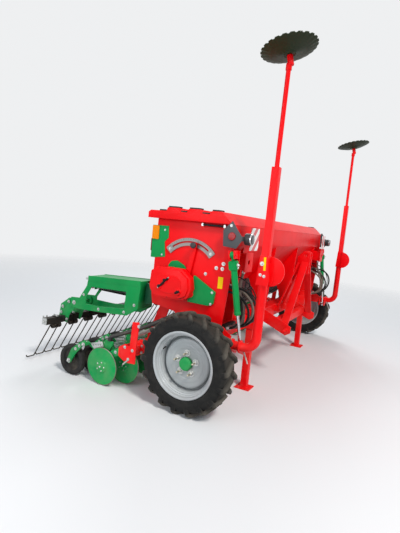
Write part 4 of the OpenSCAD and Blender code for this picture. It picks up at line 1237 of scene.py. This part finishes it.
@dataclass
class Harrow:
    """The harrow: box arms, beam and swing plates, spring tines, coil springs and bolts."""

    packed: dict[str, bpy.types.Object]
    pairs: int = 16
    gap: float = 90.0
    wire: float = 0.005
    coil_r: float = 0.0165
    beam: tuple[float, float] = (-1285.0, 351.0)
    knee_z: float = 302.0
    tip: tuple[float, float] = (-1470.0, 17.5)
    arm_x: tuple[float, float] = (1110.0, 1290.0)
    arm_t: float = 6.0
    pin: tuple[float, float] = (-1160.0, 505.0)
    relief: tuple[float, float] = (1205.0, 647.0)

    def build(self) -> None:
        """Makes the harrow's pieces."""
        self.arms()
        self.beam_and_plates()
        self.tines()
        self.clamps()
        self.springs()
        self.bolts()

    def arms(self) -> None:
        """The box arms: two side plates with openings, cover with skirts, walls and the pin at the end."""
        rim = ((-512, 772), (-1020, 740), (-1035, 660), (-1105, 553), (-1195, 545), (-1200, 470), (-1100, 462),
               (-900, 476), (-625, 500), (-530, 560))
        near = ((-642, 676), (-985, 660), (-1035, 578), (-1035, 516), (-900, 520), (-650, 548))
        far = ((-642, 684), (-995, 680), (-1045, 600), (-1085, 545), (-1085, 520), (-900, 520), (-650, 548))
        walls = (((-512, 772), (-1020, 740), (-1020, 734), (-512, 766)),
                 ((-512, 768), (-528, 562), (-534, 562), (-518, 768)),
                 ((-1020, 738), (-1020, 662), (-1026, 662), (-1026, 738)))
        skirt = ((-511, 775), (-1023, 743), (-1023, 704), (-519, 736))
        x0, x1 = self.arm_x
        shapes = []
        for side in Side:
            s = side.value
            shapes += [holed_plate(outline(s * x, rim), outline(s * x, hole), self.arm_t * MM, side.out)
                       for x, hole in ((x0, far), (x1 - self.arm_t, near))]
            shapes += [plate(side, x0, wall, (x1 - x0) * MM) for wall in walls]
            shapes += [plate(side, x, skirt, 3 * MM) for x in (x0 - 3, x1)]
            shapes.append(sweep([[place(s * x0, *self.pin), place(s * x1, *self.pin)]], 0.012, 20))
        settle("harrow_boxes", shapes, GREEN, stands_for=["harrow_arms"])

    def beam_and_plates(self) -> None:
        """The square beam in black and the swing plates that carry it in green."""
        centre, half = place(0.0, *self.beam), 0.0256
        both = softened([self.packed["harrow_beam"]], FINE)
        for name, finish, nodes, keep_beam in (("harrow_tube", BLACK, ["harrow_beam"], True),
                                               ("swing_plates", GREEN, [], False)):
            bm = bmesh.new()
            bm.from_mesh(both)
            lost = [f for f in bm.faces if keep_beam != all(
                abs(v.co.y - centre.y) < half and abs(v.co.z - centre.z) < half for v in f.verts)]
            bmesh.ops.delete(bm, geom=lost, context="FACES")
            settle(name, to_mesh(bm, outward=False), finish, "harrow", nodes)

    def tine_path(self, way: float) -> list[Vector]:
        """One tine: out of the clamp, through its coil, down to the bent tip."""
        y0, z0 = self.beam[0] * MM, self.knee_z * MM
        turns, total = 3.0, 42
        path = [Vector((0.0, y0, z0 + self.coil_r))]
        end = pi / 2 - atan2(self.knee_z - self.tip[1], self.beam[0] - self.tip[0] - 12)
        for k in range(total + 1):
            t = k / total
            a = -2 * pi * turns * t - end * t
            path.append(Vector((way * (0.008 + 0.034 * t), y0 + self.coil_r * sin(a), z0 + self.coil_r * cos(a))))
        tip = Vector((way * 0.045, self.tip[0] * MM, self.tip[1] * MM))
        path += [path[-1].lerp(tip, 0.5) + Vector((way * 0.0015, 0, 0))]
        bend = [tip, tip + Vector((0.068, -0.0005, 0.0005)), tip + Vector((0.074, 0.002, 0.015))]
        return path + rounded_path([path[-1].lerp(tip, 0.9), *bend], 0.010, 4)

    def tines(self) -> None:
        """All pairs, repeated along the beam by Geometry Nodes, with tips bent outwards."""
        pair = to_mesh(sweep([self.tine_path(1.0), self.tine_path(-1.0)], self.wire, 8))
        halves = []
        for side in Side:
            tree = Grower(f"tine_row_{side.word}", {"Pairs": self.pairs // 2, "Spacing": 2 * self.gap * MM})
            step = tree.add("ShaderNodeCombineXYZ", {"X": tree.given["Spacing"]}).outputs[0]
            line = tree.add("GeometryNodeMeshLine", {"Count": tree.given["Pairs"], "Offset": step,
                                                     "Start Location": (self.gap * MM, 0, 0)}, mode="OFFSET")
            tree.copy_to(line.outputs[0], {"Instance": tree.given["Geometry"]}, WIRE)
            halves.append(mirrored(tree.grow(pair.copy()), side))
        rows = merged(halves)
        rows.transform(Matrix.Translation(Y * AXLE_Y))
        settle("harrow_wires", rows, WIRE, "harrow", ["harrow_tines"])

    def clamps(self) -> None:
        """The tines' clamps with their nuts, the beam's end caps and the ties beside them."""
        y, z = self.beam
        places = [(i - (self.pairs - 1) / 2) * 2 * self.gap for i in range(self.pairs)]
        foot = [(y + a, z + b) for a, b in square(-31, -34, 31, 31)]
        settle("tine_clamps", [block(outline(x - 18, foot), 0.036, X, 0.003) for x in places], BLACK, "harrow")
        spots = [(place(x, y - 31, z), -Y, 0.016) for x in places]
        spots += [(place(x + 8, y + b, z + 31), Z, 0.013) for x in places for b in (-16, 16)]
        fasten("tine_clamp_bolts", spots, Head.NUT, body="harrow")
        end = [(y + a, z + b) for a, b in square(-26, -26, 26, 26)]
        settle("harrow_tube_ends", [plate(side, 1462, end, 0.006, 0.002) for side in Side], ZINC, "harrow")
        bars = [outline(s * x, ((y - 34, z - 30), (y - 34, z + 36))) for s in (-1, 1) for x in (1416, 1448)]
        settle("harrow_end_ties", sweep(bars, 0.006), ZINC, "harrow")

    def springs(self) -> None:
        """Coils round the spindles, and the relief springs on rods under hangers, above the arms' windows."""
        spindles = [coil((side.value * 1200, -775, 700), -235, 21, 9, 16) for side in Side]
        settle("spindle_springs", sweep(spindles, 0.004, 8), BLACK)
        coils, rods, hangers, nuts = [], [], [], []
        for side in Side:
            x, z = side.value * self.relief[0], self.relief[1]
            coils.append(coil((x, -985, z), 300, 17, 26, 12))
            rods.append(outline(x, ((y, z) for y in (-1096, -830, -652))))
            nuts += [(p, -Y, 0.020) for p in outline(x, ((y, z) for y in (-1018, -1050, -1074)))]
            hangers += [block([place(x + a, y, b) for a, b in square(-18, 628, 18, 736)], 0.006, Y, 0.002)
                        for y in (-1018, -662)]
        settle("relief_springs", sweep(coils, 0.0035, 6), BLACK)
        settle("relief_rods", sweep(rods, 0.007), ZINC)
        fasten("relief_nuts", nuts, Head.NUT)
        settle("relief_hangers", hangers, GREEN)

    def bolts(self) -> None:
        """Bolts of boxes and swing plates."""
        still, moving = [], []
        for side in Side:
            still += heads(side, self.arm_x[1], ((-560, 590), (-1062, 585), (-900, 498), (-650, 522)), 0.012)
            still += heads(side, self.arm_x[1], (self.pin,), 0.018)
            moving += heads(side, 1284, ((-1225, 500), (-1290, 450), (-1305, 400), (-1238, 352), (-1318, 340)), 0.014)
            moving += heads(side, 1465, (self.beam,), 0.017)
        fasten("harrow_box_bolts", still, Head.NUT)
        fasten("harrow_plate_bolts", moving, Head.NUT, body="harrow")


@dataclass
class Markers:
    """The marker arms' bearings, lift cylinders, fasteners and labels."""

    packed: dict[str, bpy.types.Object]
    shaft: tuple[float, float, float] = (1290.0, 480.0, 29.0)
    bore_gap: float = 0.0015
    bore_reach: float = 0.0025
    fold: tuple[float, float] = (400.0, 951.0)
    fold_x: float = 1327.0
    pin: Point = (1295.0, 184.0, 1050.0)
    eye: Point = (1228.0, 278.0, 432.0)

    def build(self) -> None:
        """Makes the marker's pieces."""
        self.bearings()
        y, z = self.fold
        for side in Side:
            s, w = side.value, side.word
            spots = [spot for a, b, c in ((-6, 72, 0.014), (-10, 4, 0.010), (14, -2, 0.010))
                     for spot in heads(side, self.fold_x, ((y + a, z + b),), c)]
            fasten(f"marker_bolts_{w}", spots, Head.NUT, body=f"marker_{w}")
            sticker = [(y + a, z + b) for a, b in ((6, 32), (20, 32), (16, 112), (2, 112))]
            settle(f"marker_label_{w}", plate(side, self.fold_x + 0.2, sticker, 0.0006, 0.0), LABEL, f"marker_{w}")
            self.lift_barrel(side)
            rod = [place(s * 1276, 314, 462), place(s * 1274, 326, 436), place(s * 1272, 352, 376)]
            settle(f"boom_rod_{w}", sweep([rod], 0.0045), PALE, f"marker_{w}")

    def bearings(self) -> None:
        """The arms' bearings, their bores opened a little round the shafts that turn in them."""
        mesh = softened([self.packed["marker_brackets"]], FINE)
        x0, z0, radius = (v * MM for v in self.shaft)
        for v in mesh.vertices:
            across, up = abs(v.co.x) - x0, v.co.z - z0
            off = hypot(across, up)
            if off < radius + self.bore_reach:
                wider = 1.0 + self.bore_gap / off
                v.co.x, v.co.z = copysign(x0 + across * wider, v.co.x), z0 + up * wider
        settle("marker_bearings", mesh, RED, stands_for=["marker_brackets"])

    def lift_barrel(self, side: Side) -> None:
        """The lift cylinder's barrel: a turned tube, its square head with a port, and the lug on the pin."""
        w, s = side.word, side.value
        pin, eye = place(s * self.pin[0], *self.pin[1:]), place(s * self.eye[0], *self.eye[1:])
        up = (pin - eye).normalized()
        across = (Y - up * up.y).normalized()
        beside = across.cross(up)
        tube = [(0.0, 0.098), (0.0205, 0.098), (0.0205, 0.366), (0.0225, 0.370), (0.0225, 0.386), (0.019, 0.390),
                (0.0135, 0.390), (0.0135, 0.372), (0.0, 0.372)]
        neck = [(0.0, 0.016), (0.011, 0.016), (0.011, 0.042), (0.0, 0.042)]
        lug = [(0.0105, -0.012), (0.021, -0.012), (0.021, 0.012), (0.0105, 0.012)]
        head = [pin - up * 0.098 + beside * a + across * b for a, b in square(-0.024, -0.028, 0.024, 0.028)]
        settle(f"lift_barrel_{w}", [lathe(tube, pin, -up, 40, 0.002), lathe(neck, pin, -up, 24),
                                    block(head, 0.060, up, 0.006), lathe(lug, pin, Y, 40, closed=True)],
               GREEN, f"cylinder_{w}", [f"cylinder_{w}"])
        ports = [(pin - up * down + across * 0.028, across, size) for down, size in ((0.068, 0.015), (0.084, 0.008))]
        fasten(f"lift_port_{w}", ports, Head.NUT, body=f"cylinder_{w}")


@dataclass
class Lamps:
    """Front lamps' lenses and bezels, lamp plates, side reflectors and bolts."""

    front: Point = (1225.0, 270.5, 1155.0)

    def build(self) -> None:
        """Makes the lamps' pieces."""
        spots = []
        lens = [(0.0, 0.012), (0.018, 0.010), (0.029, 0.004), (0.031, 0.0), (0.0, 0.0)]
        bezel = [(0.031, 0.0), (0.037, 0.0), (0.037, 0.007), (0.031, 0.007)]
        cup = [(0.0, 0.0), (0.026, 0.0), (0.026, 0.004), (0.022, 0.007), (0.0, 0.007)]
        sheet = [(-475, 1188), (-341, 1190), (-336, 1107), (-366, 1079), (-352, 973), (-442, 958), (-475, 958)]
        for side in Side:
            s, w, first = side.value, side.word, side is Side.RIGHT
            spot = place(s * self.front[0], *self.front[1:])
            settle(f"front_lens_{w}", lathe(lens, spot, Y, 40, 0.002), DARK_LENS)
            settle(f"lamp_bezel_{w}", lathe(bezel, spot, Y, 48, 0.0015, True), CHROME)
            back = [place(s * x, y, 958) for x, y in square(1090, -475, 1254, -471)]
            settle(f"lamp_plate_{w}", [plate(side, PANEL_X, sheet, 0.004), block(back, 0.226, Z)], GREEN,
                   stands_for=["light_brackets"] if first else [])
            settle(f"orange_reflector_{w}", plate(side, PANEL_X + 4, square(-472, 1090, -416, 1186), 0.010, 0.003),
                   ORANGE_LENS, stands_for=["reflectors"] if first else [])
            spots += heads(side, PANEL_X + 4, ((-370, 1160), (-380, 985)), 0.0075)
            spots += heads(side, 1295, ((154, 1232),), 0.010)
            settle(f"side_reflector_{w}", lathe(cup, place(s * 1295, 165, 1165), side.out, 32, 0.001), RED_LENS)
        fasten("lamp_bolts", spots)


@dataclass
class Hoses:
    """Hydraulic hoses and cables between a block on the side panel and one on the front beam."""

    upper: tuple[Point, Point] = ((1200, 30, 766), (1245, 100, 872))
    lower: tuple[Point, Point] = ((1050, 119, 532), (1218, 152, 576))
    black: Sequence[Sequence[Point]] = (
        ((1222, 98, 800), (1222, 330, 830), (1162, 360, 556), (1162, 150, 554)),
        ((1222, 98, 826), (1200, 400, 900), (1142, 400, 556), (1142, 150, 554)),
        ((1232, 98, 850), (1228, 280, 850), (1202, 300, 556), (1202, 150, 554)))
    beige: Sequence[Sequence[Point]] = (
        ((1105, 190, 946), (1105, 190, 845), (1238, 168, 802), (1197, 295, 691), (1102, 275, 556), (1102, 150, 554)),
        ((1202, 60, 826), (1040, 60, 826), (1082, 350, 840), (1082, 350, 556), (1082, 150, 554)),
        ((1210, 98, 850), (1206, 290, 850), (1182, 310, 556), (1182, 150, 554)))
    thin: Sequence[Sequence[Point]] = (
        ((1202, 80, 790), (1060, 80, 900), (1060, 420, 820), (1066, 380, 556), (1066, 150, 554)),
        ((1202, 80, 842), (1080, 80, 980), (1150, 420, 900), (1122, 400, 556), (1122, 150, 554)))

    def build(self) -> None:
        """Makes the hoses, their ferrules and the blocks, for both sides."""
        for name, runs, radius, finish in (("hydraulic_hoses", self.black, 0.008, HOSE),
                                           ("sleeved_hoses", self.beige, 0.0095, SLEEVE),
                                           ("cables", self.thin, 0.004, HOSE)):
            paths = [bezier([place(side.value * x, y, z) for x, y, z in run]) for side in Side for run in runs]
            settle(name, sweep(paths, radius), finish)
            ends = [[a, a.lerp(b, 0.024 / (b - a).length)] for path in paths
                    for a, b in ((path[0], path[2]), (path[-1], path[-3]))]
            settle(f"{name}_ferrules", sweep(ends, radius * 1.35, 6), ZINC)
        blocks = [plate(side, low[0], square(*low[1:], *high[1:]), (high[0] - low[0]) * MM, 0.003)
                  for side in Side for low, high in (self.upper, self.lower)]
        settle("hose_blocks", blocks, BLACK)


@dataclass
class Studio:
    """A pale floor, soft light and the camera."""

    eye: Point = (3.600, 1.66925, 1.213)
    right: Point = (-0.4832, 0.8703, 0.0960)
    up: Point = (-0.0426, -0.1329, 0.9903)
    back: Point = (0.8745, 0.4744, 0.1013)
    lens_mm: float = 27.0
    floor_r: float = 30.0
    fade: tuple[float, float] = (3.2, 8.5)
    pale: Colour = (0.78, 0.79, 0.80)
    target: Point = (0.3, 0.3, 0.7)
    lamps: Sequence[tuple[str, Point, float, float, Colour]] = (
        ("key", (4.2, 5.2, 7.0), 1.6, 560.0, (1.0, 0.965, 0.92)),
        ("fill", (7.0, -1.5, 2.8), 4.0, 150.0, (0.92, 0.96, 1.0)),
        ("rim", (-5.0, -3.0, 6.0), 3.0, 240.0, (1.0, 1.0, 1.0)))

    def build(self) -> None:
        """Makes floor, lights, world and camera."""
        self.lay_floor()
        self.light()
        self.aim_camera()

    def lay_floor(self) -> None:
        """A round floor that fades into the background far out."""
        bm = bmesh.new()
        bmesh.ops.create_circle(bm, cap_ends=True, segments=96, radius=self.floor_r)
        mesh = to_mesh(bm, outward=False)
        mesh.name = "studio_floor"
        floor = bpy.data.objects.new("studio_floor", mesh)
        bpy.context.scene.collection.objects.link(floor)
        s = Surface("studio_floor")
        away = s.add("ShaderNodeVectorMath", {0: s.where}, operation="LENGTH").outputs["Value"]
        matt = s.add("ShaderNodeBsdfDiffuse", {"Color": self.pale}).outputs[0]
        clear = s.add("ShaderNodeBsdfTransparent").outputs[0]
        mix = s.add("ShaderNodeMixShader", {0: s.span(away, *self.fade), 1: matt, 2: clear}).outputs[0]
        s.add("ShaderNodeOutputMaterial", {"Surface": mix})
        mesh.materials.append(s.material)

    def light(self) -> None:
        """A soft key from the front right, a fill, a rim light and an even world."""
        world = bpy.data.worlds.new("studio_world")
        bpy.context.scene.world = world
        world.use_nodes = True
        g = Graph(world.node_tree)
        ray = g.add("ShaderNodeLightPath").outputs
        seen = g.add("ShaderNodeMath", {0: ray["Is Camera Ray"], 1: ray["Is Glossy Ray"]}, operation="MAXIMUM")
        even = g.add("ShaderNodeBackground", {"Color": (0.84, 0.91, 1.0), "Strength": 0.42})
        shown = g.add("ShaderNodeBackground", {"Color": (0.86, 0.87, 0.88), "Strength": 1.0})
        mix = g.add("ShaderNodeMixShader", {0: seen.outputs[0], 1: even.outputs[0], 2: shown.outputs[0]})
        g.add("ShaderNodeOutputWorld", {"Surface": mix.outputs[0]})
        for name, spot, size, power, colour in self.lamps:
            data = bpy.data.lights.new(name, "AREA")
            data.size, data.energy, data.color = size, power, colour
            lamp = bpy.data.objects.new(name, data)
            lamp.location = spot
            lamp.rotation_euler = (Vector(self.target) - Vector(spot)).to_track_quat("-Z", "Y").to_euler()
            bpy.context.scene.collection.objects.link(lamp)

    def aim_camera(self) -> None:
        """The camera at the photograph's place and angle."""
        scene = bpy.context.scene
        data = bpy.data.cameras.new("camera")
        data.lens, data.sensor_width = self.lens_mm, 36.0
        data.clip_start, data.clip_end = 0.05, 200.0
        camera = bpy.data.objects.new("camera", data)
        turn = Matrix([Vector(v).normalized() for v in (self.right, self.up, self.back)]).transposed().to_4x4()
        camera.matrix_world = Matrix.Translation(Vector(self.eye)) @ turn
        scene.collection.objects.link(camera)
        scene.camera = camera
        scene.view_settings.view_transform = "Standard"


def main() -> None:
    """Builds the drill's pieces in order and sets up the studio."""
    logging.basicConfig(level=logging.INFO, format="%(message)s")
    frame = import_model()
    nodes = frame["nodes"]
    for assembly in (Sheetwork(nodes), RoadWheel(Side.RIGHT), RoadWheel(Side.LEFT), Hopper(nodes), Drive(), Coulters(),
                     Harrow(nodes), Markers(nodes), Lamps(), Hoses(), Studio()):
        assembly.build()


if __name__ == "__main__":
    main()
